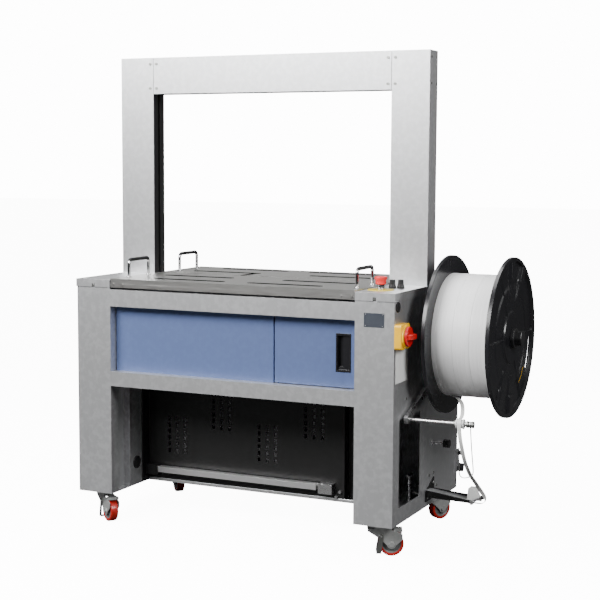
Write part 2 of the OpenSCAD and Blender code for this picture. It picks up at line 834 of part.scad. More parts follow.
module reel_nut() {
    color(DARK) place() translate([0, reel_y, reel_z]) difference() {
        union() {
            rod_x([flange_out, 0, 0], 30, 10);
            rod_x([flange_out + 10, 0, 0], 23, nut_end - flange_out - 10);
            for (a = [0:60:300]) rotate([a, 0, 0]) box([flange_out, -4, 22], [flange_out + 22, 4, 33]);
        }
        rod_x([flange_out - cut, 0, 0], axle_r + fit, nut_end - flange_out - 4 + cut);
    }
}

// ---- Tension arm and strap way -------------------------------------------------------------

module dancer_arm() {
    pivot = [arm_y, arm_z];
    tip = [rod_y0, rod_z0];
    dir = (tip - pivot) / norm(tip - pivot);
    side = 11 * [-dir.y, dir.x];
    color(STEEL) place() {
        difference() {
            translate([arm_x0, 0, 0]) rotate([90, 0, 90]) linear_extrude(arm_x1 - arm_x0) union() {
                translate(pivot) circle(22);
                translate(tip) circle(14);
                polygon([pivot + side, tip + side, tip - side, pivot - side]);
            }
            rod_x([arm_x0 - cut, arm_y, arm_z], arm_pin_r + fit, arm_x1 - arm_x0 + 2 * cut);
        }
        rod_x([arm_x1 - 2, rod_y0, rod_z0], 6, rod_end - arm_x1 + 2);
        // collars that keep the roller and the bail in place
        rod_x([roller_x0 - 7, rod_y0, rod_z0], 10, 6);
        rod_x([747, rod_y0, rod_z0], 10, 7);
        rod_x([763, rod_y0, rod_z0], 10, 6);
    }
}

module dancer_roller() {
    len = roller_x1 - roller_x0;
    color([0.93, 0.93, 0.93]) place() translate([roller_x0, rod_y0, rod_z0]) difference() {
        rod_x([0, 0, 0], 15, len);
        rod_x([-cut, 0, 0], 6 + fit, len + 2 * cut);
    }
}

module wire_bail() {
    eye_x0 = 756;
    eye_w = 5;
    color(STEEL) place() {
        difference() {
            rod_x([eye_x0, rod_y0, rod_z0], 9, eye_w);
            rod_x([eye_x0 - cut, rod_y0, rod_z0], 6 + fit, eye_w + 2 * cut);
        }
        wire(BAIL_ROUTE, 1.75);
    }
}

module lower_guide_arm() {
    flange_t = 3;
    root = [hw, guide_root_z];
    tip = [guide_tip_x, guide_tip_z];
    ear = [tip_x - 8, tip_x + 6];
    color(DARK) place() {
        // sloping web, front flange below it and rear flange above it
        translate([0, guide_y1, 0]) rotate([90, 0, 0]) linear_extrude(guide_y1 - guide_y0)
            polygon([root, tip, tip - [0, 3], root - [0, 3]]);
        translate([0, guide_y0, 0]) rotate([90, 0, 0]) linear_extrude(flange_t)
            polygon([root, tip, [ear[0], tip_z + 4], [ear[1], tip_z + 4], [ear[1], tip_z - 4],
                [ear[0], tip_z - 4], tip - [0, 9], root - [0, 23]]);
        translate([0, guide_y1 + flange_t, 0]) rotate([90, 0, 0]) linear_extrude(flange_t)
            polygon([root + [0, 2], tip + [0, 9], [ear[1], tip_z + 4], [ear[1], tip_z - 4],
                tip - [0, 4], root - [0, 4]]);
        rod_y([tip_x, guide_y0 - flange_t, tip_z], 2, guide_y1 - guide_y0 + 2 * flange_t);
        screw_front([guide_tip_x, guide_y0 - flange_t, guide_tip_z - 5], 7, 5);
        screw_side([hw + 3, 345, 170], 4, 3);
        // root plate with the strap inlet
        difference() {
            translate([hw, 0, 0]) rotate([90, 0, 90]) linear_extrude(3)
                polygon([[280, 120], [330, 120], [358, 150], [358, 187], [280, 152]]);
            box([hw - cut, 294, 126], [hw + 3 + cut, 316, 152]);
        }
    }
}

module guide_block() {
    y0 = guide_y0 + 1;
    foot = 141.8;
    color([0.94, 0.94, 0.93]) place() translate([0, guide_y1 - 1, 0]) rotate([90, 0, 0])
        linear_extrude(guide_y1 - 1 - y0)
            polygon([[684, foot + 0.4], [705, foot - 1.8], [718, foot - 1.8], [719, 150], [706, 178],
                [688, 178]]);
}

module tip_roller() {
    color(DARK) place() difference() {
        rod_y([tip_x, guide_y0 + 2, tip_z], 6, guide_y1 - guide_y0 - 4);
        rod_y([tip_x, guide_y0 + 1, tip_z], 2 + fit, guide_y1 - guide_y0);
    }
}

// Flat strap swept along its route: each ring is the strap's four corners
function unit(v) = v / norm(v);
function at(i) = [STRAP_ROUTE[i][0], STRAP_ROUTE[i][1], STRAP_ROUTE[i][2]];
function along(i) = unit(at(min(i + 1, len(STRAP_ROUTE) - 1)) - at(max(i - 1, 0)));
function across(i) =
    let (a = STRAP_ROUTE[i][3], w = [cos(a), sin(a), 0], t = along(i)) unit(w - (w * t) * t);
function ring(i) =
    let (w = across(i) * strap_w / 2, n = cross(along(i), across(i)) * strap_t / 2)
    [at(i) - w - n, at(i) + w - n, at(i) + w + n, at(i) - w + n];

module strap_run() {
    count = len(STRAP_ROUTE);
    points = [for (i = [0:count - 1]) each ring(i)];
    // the two wide faces share the direction of their diagonals, so a twist can't cross them
    sides = [for (i = [0:count - 2], k = [0:3]) let (a = 4 * i + k, b = 4 * i + (k + 1) % 4)
        each (k == 2 ? [[b, a, b + 4], [a, a + 4, b + 4]] : [[b, a, a + 4], [b + 4, b, a + 4]])];
    ends = [[0, 1, 2, 3], [for (k = [3:-1:0]) 4 * (count - 1) + k]];
    color([0.9, 0.9, 0.88]) place() polyhedron(points, concat(sides, ends));
}

// ---- Inside --------------------------------------------------------------------------------

module head_frame() {
    plate_y = [[262, 272], [346, 356]];
    rail_y = [[236, 262], [356, 382]];
    rail_z0 = 600;
    color(STEEL) place() difference() {
        union() {
            for (y = plate_y) box([head_x0, y[0], rail_z0], [head_x1, y[1], 774]);
            box([head_x0, 272, 764], [head_x1, 346, 774]);
            box([head_x0, 290, 774], [head_x1, 328, 786]);
            for (y = rail_y) box([-in_x, y[0], rail_z0], [in_x, y[1], rail_z0 + 30]);
            // press columns over the cams
            for (x = [-112, -56, 6]) box([x, 284, 728], [x + 26, 334, 764]);
        }
        box([head_x0 - cut, arch_mid - groove_w / 2, 780], [head_x1 + cut, arch_mid + groove_w / 2, 788]);
        for (y = plate_y) rod_y([shaft_x, y[0] - cut, shaft_z], 10 + fit, 12);
    }
}

module cam_shaft() {
    color(STEEL) place() {
        rod_y([shaft_x, 252, shaft_z], 10, 146);
        rod_y([shaft_x, pulley_y0, shaft_z], pulley_r, pulley_y1 - pulley_y0);
        for (i = [0:2]) translate([shaft_x, 280 + 18 * i, shaft_z]) rotate([0, 120 * i, 0])
            rod_y([8, 0, 0], 30, 12);
    }
}

module drive_motor() {
    bracket_x = [-112, 32];
    color(DARK) place() {
        difference() {
            union() {
                box([bracket_x[0], 398, 455], [bracket_x[1], 402, 612]);
                for (x = [bracket_x[0], bracket_x[1] - 16]) box([x, 382, 600], [x + 16, 398, 612]);
            }
            rod_y([shaft_x, 397, motor_z], 6 + fit, 6);
        }
        rod_y([shaft_x, 402, motor_z], 55, 150);
        rod_y([shaft_x, 552, motor_z], 50, 12);
    }
}

module motor_pulley() {
    color(STEEL) place() {
        rod_y([shaft_x, pulley_y0, motor_z], pinion_r, pulley_y1 - pulley_y0);
        rod_y([shaft_x, pulley_y0 - 2, motor_z], 6, 401.5 - pulley_y0 + 2);
    }
}

// Outline round both pulleys, grown by g
module belt_outline(g) {
    hull() {
        circle(pulley_r + g, $fn = 72);
        translate([0, motor_z - shaft_z]) circle(pinion_r + g, $fn = 32);
    }
}

module drive_belt() {
    color(DARK) place() translate([shaft_x, pulley_y1, shaft_z]) rotate([90, 0, 0])
        linear_extrude(pulley_y1 - pulley_y0) difference() {
            belt_outline(4);
            belt_outline(gap);
        }
}

// A hollow box with thin walls, open at the top if lid is false
module thin_box(low, high, wall, lid) {
    top = lid ? high.z - wall : high.z + cut;
    difference() {
        box(low, high);
        box(low + [wall, wall, wall], [high.x - wall, high.y - wall, top]);
    }
}

module control_box() {
    color(PAINT) place() thin_box([-400, 450, 520], [-180, body_d - sheet, 740], 2, true);
}

module strap_pool_box() {
    color(PAINT) place() difference() {
        thin_box([-380, 275, leg_z0 + sheet], [280, 560, 440], 2, false);
        box([275, 294, 120], [285, 316, 165]);
    }
}

// ---- Casters -------------------------------------------------------------------------------

// Puts a caster that trails along +X at its swivel
module at_swivel(x, y, angle) { place() translate([x, y, 0]) rotate([0, 0, angle]) children(); }

module caster_plates() {
    color(STEEL) place() for (x = [-caster_x, caster_x], y = [caster_y_front, caster_y_rear])
        translate([x, y, 0]) {
            difference() {
                translate([-45, -34, leg_z0 - 4]) linear_extrude(4) round_rect(90, 68, 8);
                for (i = [-34, 34], j = [-23, 23]) rod_z([i, j, leg_z0 - 4 - cut], 4.2, 4 + 2 * cut);
            }
            rod_z([0, 0, fork_top + gap], 24, leg_z0 - 4 - fork_top - gap);
            rod_z([0, 0, 77], 6, fork_top + gap - 77);
            rod_z([0, 0, 76], 9, 5.7);
        }
}

// Side plate of a fork, in the plane of the wheel
module fork_side() {
    linear_extrude(3) union() {
        polygon([[-38, 85], [26, 85], [trail + 33, 68], [trail + 33, 52], [trail + 13, axle_z - 4],
            [trail - 13, axle_z - 4], [trail - 33, 52], [-38, 78]]);
        translate([trail, axle_z]) circle(14);
    }
}

module caster_fork() {
    side_y = wheel_w / 2 + 2;
    color(STEEL) {
        difference() {
            union() {
                translate([0, 0, 82]) linear_extrude(3) translate([-38, -side_y - 3])
                    round_rect(64, 2 * side_y + 6, 3);
                rod_z([0, 0, 85], 22, fork_top - 85);
                translate([0, -side_y, 0]) rotate([90, 0, 0]) fork_side();
                translate([0, side_y + 3, 0]) rotate([90, 0, 0]) fork_side();
            }
            rod_z([0, 0, 81], 6 + fit, 12);
        }
        rod_y([trail, -side_y - 6, axle_z], 5, 2 * side_y + 12);
        for (y = [-side_y - 7, side_y + 3]) translate([trail, y, axle_z]) rotate([-90, 0, 0])
            cylinder(r = 9, h = 4, $fn = 6);
    }
}

// Stub pins on the fork for the brake pedal, and the housing of its shoe
pedal_x = 4;
pedal_z = 62;
module pedal_pins() {
    side_y = wheel_w / 2 + 5;
    color(STEEL) {
        for (y = [-side_y - 5, side_y]) rod_y([pedal_x, y, pedal_z], 3, 5);
        box([trail + 6, -side_y + 3 - cut, 76], [trail + 32, side_y - 3 + cut, 84]);
    }
}

module caster_wheel() {
    color([0.8, 0.15, 0.1]) difference() {
        union() {
            rod_y([trail, -wheel_w / 2, axle_z], wheel_d / 2, wheel_w);
            rod_y([trail, -wheel_w / 2 - 1.7, axle_z], 12, wheel_w + 3.4);
        }
        rod_y([trail, -wheel_w, axle_z], 5 + fit, 2 * wheel_w);
        // dished sides between tyre and hub
        for (y = [-wheel_w / 2 - 1, wheel_w / 2 - 4]) difference() {
            rod_y([trail, y, axle_z], 27, 5);
            rod_y([trail, y - 1, axle_z], 12, 7);
        }
    }
}

module brake_pedal() {
    side_y = wheel_w / 2 + 5 + gap;
    arm_t = 2.5;
    toe = [-11, 4];
    toe_z = 12;
    color(STEEL) difference() {
        union() {
            for (y = [-side_y - arm_t, side_y]) translate([0, y + arm_t, 0]) rotate([90, 0, 0])
                linear_extrude(arm_t) union() {
                    translate([pedal_x, pedal_z]) circle(7);
                    polygon([[pedal_x - 7, pedal_z], [pedal_x + 7, pedal_z], [toe[1], toe_z], [toe[0], toe_z],
                        [toe[0], toe_z + 4]]);
                }
            box([toe[0], -side_y - arm_t, toe_z - 3], [toe[1], side_y + arm_t, toe_z]);
        }
        rod_y([pedal_x, -30, pedal_z], 3 + fit, 60);
    }
}

module caster_fork_fl() {
    at_swivel(-caster_x, caster_y_front, trail_fl) { caster_fork(); pedal_pins(); }
}
module caster_fork_fr() {
    at_swivel(caster_x, caster_y_front, trail_fr) { caster_fork(); pedal_pins(); }
}
module caster_fork_rl() { at_swivel(-caster_x, caster_y_rear, trail_rl) caster_fork(); }
module caster_fork_rr() { at_swivel(caster_x, caster_y_rear, trail_rr) caster_fork(); }
module caster_wheel_fl() { at_swivel(-caster_x, caster_y_front, trail_fl) caster_wheel(); }
module caster_wheel_fr() { at_swivel(caster_x, caster_y_front, trail_fr) caster_wheel(); }
module caster_wheel_rl() { at_swivel(-caster_x, caster_y_rear, trail_rl) caster_wheel(); }
module caster_wheel_rr() { at_swivel(caster_x, caster_y_rear, trail_rr) caster_wheel(); }
module brake_pedal_fl() { at_swivel(-caster_x, caster_y_front, trail_fl) brake_pedal(); }
module brake_pedal_fr() { at_swivel(caster_x, caster_y_front, trail_fr) brake_pedal(); }

left_leg();
right_leg();
table_end_caps();
front_rails();
left_front_panel();
front_door();
door_pull();
vent_panel();
base_tray();
rear_panel();
right_rear_cover();
arch_left_column();
arch_right_column();
arch_beam();
strap_track();
front_top();
front_top_handles();
rear_top();
rear_top_handles();
casing_screws();
cable_gland();
cover_knobs();
estop_base();
estop_button();
left_control_knob();
right_control_knob();
main_switch_body();
main_switch_knob();
foot_bar();
foot_bar_mounts();
reel_axle();
reel_inner_flange();
strap_roll();
reel_outer_flange();
reel_nut();
dancer_arm();
dancer_roller();
wire_bail();
lower_guide_arm();
guide_block();
tip_roller();
strap_run();
head_frame();
cam_shaft();
drive_motor();
motor_pulley();
drive_belt();
control_box();
strap_pool_box();
caster_plates();
caster_fork_fl();
caster_fork_fr();
caster_fork_rl();
caster_fork_rr();
caster_wheel_fl();
caster_wheel_fr();
caster_wheel_rl();
caster_wheel_rr();
brake_pedal_fl();
brake_pedal_fr();
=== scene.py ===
"""Looks of the arch strapping machine: materials, detailed meshes, camera and light.

Lengths in the calls are millimetres in the machine's own axes (x from the arch centre, y from the
legs' front face, z from the floor); at() turns them into the frame's metres.
"""

import json
import math

import bmesh
import bpy
from mathutils import Matrix, Vector

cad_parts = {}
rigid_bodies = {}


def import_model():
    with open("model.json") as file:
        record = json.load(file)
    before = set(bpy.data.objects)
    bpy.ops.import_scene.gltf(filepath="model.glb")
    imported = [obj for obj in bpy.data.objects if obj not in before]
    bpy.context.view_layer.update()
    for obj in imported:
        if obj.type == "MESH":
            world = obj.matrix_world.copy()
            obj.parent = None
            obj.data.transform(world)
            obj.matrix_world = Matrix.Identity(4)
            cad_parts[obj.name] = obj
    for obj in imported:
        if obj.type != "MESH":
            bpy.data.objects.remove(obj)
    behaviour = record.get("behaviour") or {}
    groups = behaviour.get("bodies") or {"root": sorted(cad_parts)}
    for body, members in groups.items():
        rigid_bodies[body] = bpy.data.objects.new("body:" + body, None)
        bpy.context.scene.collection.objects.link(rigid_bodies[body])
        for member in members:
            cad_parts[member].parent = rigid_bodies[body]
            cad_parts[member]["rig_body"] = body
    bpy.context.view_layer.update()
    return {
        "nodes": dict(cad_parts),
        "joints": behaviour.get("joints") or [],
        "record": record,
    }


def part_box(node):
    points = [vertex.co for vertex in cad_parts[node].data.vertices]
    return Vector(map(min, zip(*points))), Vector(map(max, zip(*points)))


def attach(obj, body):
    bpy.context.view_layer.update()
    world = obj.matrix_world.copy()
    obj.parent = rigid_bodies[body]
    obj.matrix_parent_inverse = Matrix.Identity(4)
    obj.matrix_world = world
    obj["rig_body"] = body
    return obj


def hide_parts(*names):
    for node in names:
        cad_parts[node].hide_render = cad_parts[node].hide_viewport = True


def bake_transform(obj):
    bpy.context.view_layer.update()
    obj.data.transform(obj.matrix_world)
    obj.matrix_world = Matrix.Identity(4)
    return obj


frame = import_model()

MM = 0.001
TABLE_TOP = 804
NODES = frame["nodes"]
JOINTS = {j["name"]: j for j in frame["joints"]}

# Origin of the machine's own axes: arch centre, legs' front face, floor
ARCH_LOW, ARCH_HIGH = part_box("arch_beam")
ORIGIN = Vector(((ARCH_LOW.x + ARCH_HIGH.x) / 2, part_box("left_leg")[0].y, 0))


def at(x, y, z):
    """A point of the machine's own axes, in the frame's metres."""
    return ORIGIN + Vector((x, y, z)) * MM


def joint_point(name):
    """The point that a joint turns about, in metres."""
    return Vector(JOINTS[name]["pos_m"])


# ---- Camera --------------------------------------------------------------------------------

CAMERA_AT = at(1995.8, -3730.1, 1185.2)
CAMERA_AZIMUTH = math.radians(25.123)
CAMERA_PITCH = math.radians(5.793)
CAMERA_ROLL = math.radians(0.284)
CAMERA_LENS = 82.97


def camera_matrix():
    """Rotation of a camera that looks along azimuth and down by pitch, with a little roll."""
    a, p, r = CAMERA_AZIMUTH, CAMERA_PITCH, CAMERA_ROLL
    forward = Vector((-math.sin(a) * math.cos(p), math.cos(a) * math.cos(p), -math.sin(p)))
    right = Vector((math.cos(a), math.sin(a), 0))
    up = right.cross(forward)
    rolled_right = math.cos(r) * right + math.sin(r) * up
    rolled_up = -math.sin(r) * right + math.cos(r) * up
    columns = (rolled_right, rolled_up, -forward)
    return Matrix([[column[row] for column in columns] for row in range(3)]).to_4x4()


def make_camera():
    data = bpy.data.cameras.new("camera")
    data.lens = CAMERA_LENS
    data.sensor_width = 36
    data.clip_end = 60
    camera = bpy.data.objects.new("camera", data)
    bpy.context.scene.collection.objects.link(camera)
    camera.matrix_world = Matrix.Translation(CAMERA_AT) @ camera_matrix()
    bpy.context.scene.camera = camera


make_camera()

# ---- Material helpers ----------------------------------------------------------------------


class Paint:
    """A Principled material under construction, with its texture nodes in object space."""

    def __init__(self, name, base, roughness, metallic=0.0, coat=0.0, specular=0.5):
        self.material = bpy.data.materials.new(name)
        self.material.use_nodes = True
        self.tree = self.material.node_tree
        self.shader = self.tree.nodes["Principled BSDF"]
        self.set("Base Color", (*base, 1))
        self.set("Roughness", roughness)
        self.set("Metallic", metallic)
        self.set("Coat Weight", coat)
        self.set("Specular IOR Level", specular)

    def set(self, socket, value):
        self.shader.inputs[socket].default_value = value

    def node(self, kind, **inputs):
        made = self.tree.nodes.new(kind)
        for key, value in inputs.items():
            made.inputs[key.replace("_", " ")].default_value = value
        return made

    def link(self, source, target):
        self.tree.links.new(source, target)

    def coords(self, stretch):
        place = self.node("ShaderNodeMapping", Scale=stretch)
        source = self.node("ShaderNodeTexCoord")
        self.link(source.outputs["Object"], place.inputs["Vector"])
        return place.outputs["Vector"]

    def noise(self, scale, stretch=(1, 1, 1), detail=3.0):
        made = self.node("ShaderNodeTexNoise", Scale=scale, Detail=detail)
        self.link(self.coords(stretch), made.inputs["Vector"])
        return made.outputs["Fac"]

    def span(self, value, low, high, to_low, to_high):
        made = self.node("ShaderNodeMapRange")
        for key, number in (("From Min", low), ("From Max", high), ("To Min", to_low), ("To Max", to_high)):
            made.inputs[key].default_value = number
        self.link(value, made.inputs["Value"])
        return made.outputs["Result"]

    def mix(self, factor, first, second):
        made = self.tree.nodes.new("ShaderNodeMix")
        made.data_type = "RGBA"
        for socket, value in ((made.inputs[6], first), (made.inputs[7], second)):
            if isinstance(value, tuple):
                socket.default_value = (*value, 1)
            else:
                self.link(value, socket)
        self.link(factor, made.inputs[0])
        return made.outputs[2]

    def colour(self, output):
        self.link(output, self.shader.inputs["Base Color"])

    def roughness(self, output):
        self.link(output, self.shader.inputs["Roughness"])

    def bump(self, height, strength, distance):
        made = self.node("ShaderNodeBump", Strength=strength, Distance=distance)
        self.link(height, made.inputs["Height"])
        self.link(made.outputs["Normal"], self.shader.inputs["Normal"])

    def edges(self, low=0.505, high=0.56):
        """How much a point sits on an outer edge, from the mesh's pointiness."""
        source = self.node("ShaderNodeNewGeometry")
        return self.span(source.outputs["Pointiness"], low, high, 0.0, 1.0)


def scaled(colour, factor):
    return tuple(min(1.0, c * factor) for c in colour)


# ---- Materials -----------------------------------------------------------------------------


STREAKS = (14, 14, 0.4)


def edge_wear(paint, amount):
    """Edge wear, broken up by noise and limited to an amount."""
    made = paint.node("ShaderNodeMath")
    made.operation = "MULTIPLY"
    paint.link(paint.edges(), made.inputs[0])
    paint.link(paint.span(paint.noise(60, detail=5), 0.45, 0.62, 0.0, amount), made.inputs[1])
    return made.outputs[0]


def powder_coat(name, base, roughness, metallic=0.0, wear=0.35):
    """Powder coat: cloudy tone, faint upright streaks, fine orange peel and slightly worn edges."""
    paint = Paint(name, base, roughness, metallic=metallic)
    clouds = paint.span(paint.noise(1.6, detail=2), 0.3, 0.7, 0.0, 1.0)
    tone = paint.mix(clouds, scaled(base, 0.98), scaled(base, 1.02))
    streaks = paint.span(paint.noise(30, STREAKS, detail=5), 0.35, 0.65, 0.0, 1.0)
    brushed = paint.mix(streaks, scaled(base, 0.97), scaled(base, 1.03))
    blend = paint.tree.nodes.new("ShaderNodeMix")
    blend.data_type = "RGBA"
    blend.inputs[0].default_value = 0.5
    paint.link(tone, blend.inputs[6])
    paint.link(brushed, blend.inputs[7])
    paint.colour(paint.mix(edge_wear(paint, wear), blend.outputs[2], scaled(base, 1.35)))
    uneven = paint.noise(30, STREAKS, detail=4)
    paint.roughness(paint.span(uneven, 0.3, 0.7, roughness - 0.03, roughness + 0.04))
    paint.bump(paint.noise(1400, detail=2), 0.06, 0.0004)
    return paint.material


def brushed_metal(name, base, roughness, stretch, contrast=0.12, depth=0.05):
    """Metal with a grain that runs along the axis whose stretch is smallest."""
    metal = Paint(name, base, roughness, metallic=1.0)
    grain = metal.noise(90, stretch, detail=8)
    metal.colour(metal.mix(metal.span(grain, 0.3, 0.7, 0.0, 1.0),
                           scaled(base, 1 - contrast), scaled(base, 1 + contrast)))
    metal.roughness(metal.span(grain, 0.3, 0.7, roughness - 0.03, roughness + 0.05))
    metal.bump(grain, depth, 0.0004)
    return metal.material


def bright_metal(name, base, roughness, metallic=1.0):
    """Plated metal with faint smudges."""
    metal = Paint(name, base, roughness, metallic=metallic)
    smudge = metal.noise(70, detail=5)
    metal.roughness(metal.span(smudge, 0.35, 0.7, roughness, roughness + 0.14))
    metal.colour(metal.mix(metal.span(smudge, 0.4, 0.7, 0.0, 1.0), base, scaled(base, 0.86)))
    return metal.material


def moulded(name, base, roughness, grain=900, depth=0.08, vary=0.12, specular=0.5):
    """Moulded plastic: fine spark texture and a slightly uneven gloss."""
    plastic = Paint(name, base, roughness, specular=specular)
    cloud = plastic.noise(22, detail=4)
    plastic.colour(plastic.mix(plastic.span(cloud, 0.3, 0.7, 0.0, 1.0),
                               scaled(base, 1 - vary), scaled(base, 1 + vary)))
    uneven = plastic.noise(18, detail=3)
    plastic.roughness(plastic.span(uneven, 0.3, 0.7, roughness - 0.03, roughness + 0.05))
    if depth:
        plastic.bump(plastic.noise(grain, detail=2), depth, 0.0003)
    return plastic.material


def wound_strap(name):
    """Roll of plastic strap: fine lines along the winding and faint bands across the roll."""
    strap = Paint(name, (0.80, 0.80, 0.80), 0.42, specular=0.4)
    lines = strap.noise(420, (1, 0.02, 0.02), detail=4)
    bands = strap.noise(14, (1, 0.08, 0.08), detail=3)
    tone = strap.mix(strap.span(bands, 0.3, 0.7, 0.0, 1.0), (0.86, 0.86, 0.86), (0.95, 0.95, 0.95))
    fine = strap.mix(strap.span(lines, 0.35, 0.65, 0.0, 0.35), tone, (0.74, 0.74, 0.75))
    strap.colour(fine)
    strap.bump(lines, 0.25, 0.0006)
    return strap.material


def embossed_strap(name):
    """Loose strap: small diamonds pressed into its faces."""
    base = (0.78, 0.78, 0.76)
    strap = Paint(name, base, 0.4)
    cells = strap.node("ShaderNodeTexVoronoi", Scale=700.0, Randomness=0.0)
    strap.link(strap.coords((1, 1, 1)), cells.inputs["Vector"])
    away = cells.outputs["Distance"]
    strap.colour(strap.mix(strap.span(away, 0.1, 0.6, 0.0, 1.0), base, scaled(base, 0.88)))
    strap.bump(away, 0.3, 0.0003)
    return strap.material


def tyre_rubber(name, base):
    """Polyurethane tread: satin, scuffed where it rolls."""
    tyre = Paint(name, base, 0.38, coat=0.15)
    scuff = tyre.span(tyre.noise(160, detail=6), 0.5, 0.75, 0.0, 1.0)
    tyre.colour(tyre.mix(scuff, base, scaled(base, 0.6)))
    tyre.roughness(tyre.span(tyre.noise(90, detail=4), 0.3, 0.7, 0.3, 0.5))
    tyre.bump(tyre.noise(700, detail=3), 0.1, 0.0004)
    return tyre.material


GREY = powder_coat("grey_paint", (0.60, 0.605, 0.615), 0.38, metallic=0.8)
BLUE = powder_coat("blue_paint", (0.085, 0.122, 0.262), 0.42, wear=0.15)
BLACK_PAINT = powder_coat("black_paint", (0.006, 0.006, 0.006), 0.45, wear=0.1)
STAINLESS = brushed_metal("stainless", (0.50, 0.495, 0.48), 0.34, (0.3, 8, 8), contrast=0.06, depth=0.01)
BAR_STEEL = brushed_metal("bar_steel", (0.80, 0.80, 0.80), 0.42, (0.3, 8, 8), contrast=0.06, depth=0.01)
CHROME = bright_metal("chrome", (0.80, 0.80, 0.81), 0.07)
ZINC = bright_metal("zinc", (0.62, 0.62, 0.62), 0.24)
FORK_ZINC = bright_metal("fork_zinc", (0.50, 0.51, 0.50), 0.34, metallic=0.55)
DARK_ZINC = bright_metal("dark_zinc", (0.33, 0.34, 0.32), 0.33)
MACHINED = brushed_metal("machined_steel", (0.48, 0.48, 0.48), 0.35, (30, 0.6, 30))
BLACK_GLOSS = moulded("black_gloss", (0.012, 0.012, 0.014), 0.24, depth=0)
BLACK_SATIN = moulded("black_satin", (0.014, 0.014, 0.015), 0.42)
# Matt black with no specular for the slot liners, so the table's slots read as painted shade.
SLOT_SHADE = moulded("slot_shade", (0.008, 0.008, 0.008), 0.9, depth=0, specular=0.0)
GRIP = moulded("grip_rubber", (0.012, 0.012, 0.012), 0.5, grain=1500, depth=0.2)
YELLOW = moulded("yellow_plastic", (1.0, 0.52, 0.0), 0.34)
YELLOW_DISC = moulded("yellow_disc", (0.55, 0.42, 0.03), 0.42)
RED = moulded("red_plastic", (0.50, 0.004, 0.002), 0.34)
RED_SOFT = moulded("red_button", (0.78, 0.03, 0.03), 0.4)
NYLON = moulded("white_nylon", (0.82, 0.82, 0.81), 0.42, vary=0.04)
ROLL = wound_strap("wound_strap")
STRAP = embossed_strap("strap")
TYRE = tyre_rubber("red_tyre", (0.42, 0.010, 0.006))
HUB_GREY = moulded("hub_grey", (0.13, 0.138, 0.135), 0.42)
PLATE_GREY = moulded("plate_grey", (0.045, 0.052, 0.066), 0.38)
LABEL_WHITE = moulded("label_white", (0.80, 0.80, 0.79), 0.5, depth=0.02, vary=0.03)

# ---- Mesh helpers --------------------------------------------------------------------------


def new_piece(name, mesh, materials, sharp=30):
    """An object from a bmesh, smooth except at edges sharper than an angle."""
    data = bpy.data.meshes.new(name)
    mesh.normal_update()
    mesh.to_mesh(data)
    mesh.free()
    for material in materials:
        data.materials.append(material)
    data.polygons.foreach_set("use_smooth", [True] * len(data.polygons))
    data.set_sharp_from_angle(angle=math.radians(sharp))
    piece = bpy.data.objects.new(name, data)
    bpy.context.scene.collection.objects.link(piece)
    return piece


def apply_modifiers(piece):
    """Bakes the modifiers into the mesh."""
    bpy.context.view_layer.update()
    graph = bpy.context.evaluated_depsgraph_get()
    made = bpy.data.meshes.new_from_object(piece.evaluated_get(graph))
    piece.modifiers.clear()
    piece.data = made
    return piece


def bevelled(piece, width, segments=2, angle=30):
    """Rounds every edge sharper than an angle, with flat faces kept flat."""
    made = piece.modifiers.new("bevel", "BEVEL")
    made.width = width * MM
    made.segments = segments
    made.limit_method = "ANGLE"
    made.angle_limit = math.radians(angle)
    made.harden_normals = True
    made.use_clamp_overlap = True
    return apply_modifiers(piece)


def cad_mesh(node):
    """The CAD node's mesh as a bmesh with its flat faces joined up again."""
    mesh = bmesh.new()
    mesh.from_mesh(NODES[node].data)
    bmesh.ops.remove_doubles(mesh, verts=mesh.verts, dist=1e-6)
    bmesh.ops.dissolve_limit(mesh, angle_limit=math.radians(0.6), verts=mesh.verts, edges=mesh.edges)
    for face in mesh.faces:
        face.material_index = 0
    return mesh


def stand_for(piece, *nodes, slot=None):
    """piece replaces CAD nodes and rides on their body."""
    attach(piece, NODES[nodes[0]]["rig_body"])
    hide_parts(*nodes)
    return piece


def soften(node, materials, width=0.8, segments=2, pick=None, angle=30):
    """Replaces a CAD node by its own mesh with rounded edges; pick gives a face's material."""
    mesh = cad_mesh(node)
    if pick:
        for face in mesh.faces:
            face.material_index = pick(to_own(face.calc_center_bounds()), face.normal)
    piece = new_piece(node + "_finished", mesh, materials, sharp=angle)
    bevelled(piece, width, segments, angle)
    slots = {s["node"]: s["material_slot"] for s in frame["record"]["subparts"]}
    return stand_for(piece, node, slot=slots[node])


def to_own(point):
    """A point of the frame in the machine's own millimetres."""
    return (Vector(point) - ORIGIN) / MM


AXES = {
    "x": (Vector((0, 1, 0)), Vector((0, 0, 1)), Vector((1, 0, 0))),
    "y": (Vector((0, 0, 1)), Vector((1, 0, 0)), Vector((0, 1, 0))),
    "z": (Vector((1, 0, 0)), Vector((0, 1, 0)), Vector((0, 0, 1))),
}


def directions(axis):
    """Two cross directions and the axis itself, from a letter or a vector."""
    if isinstance(axis, str):
        return AXES[axis]
    third = Vector(axis).normalized()
    first = Vector((0, 0, 1)).cross(third).normalized()
    return first, third.cross(first), third


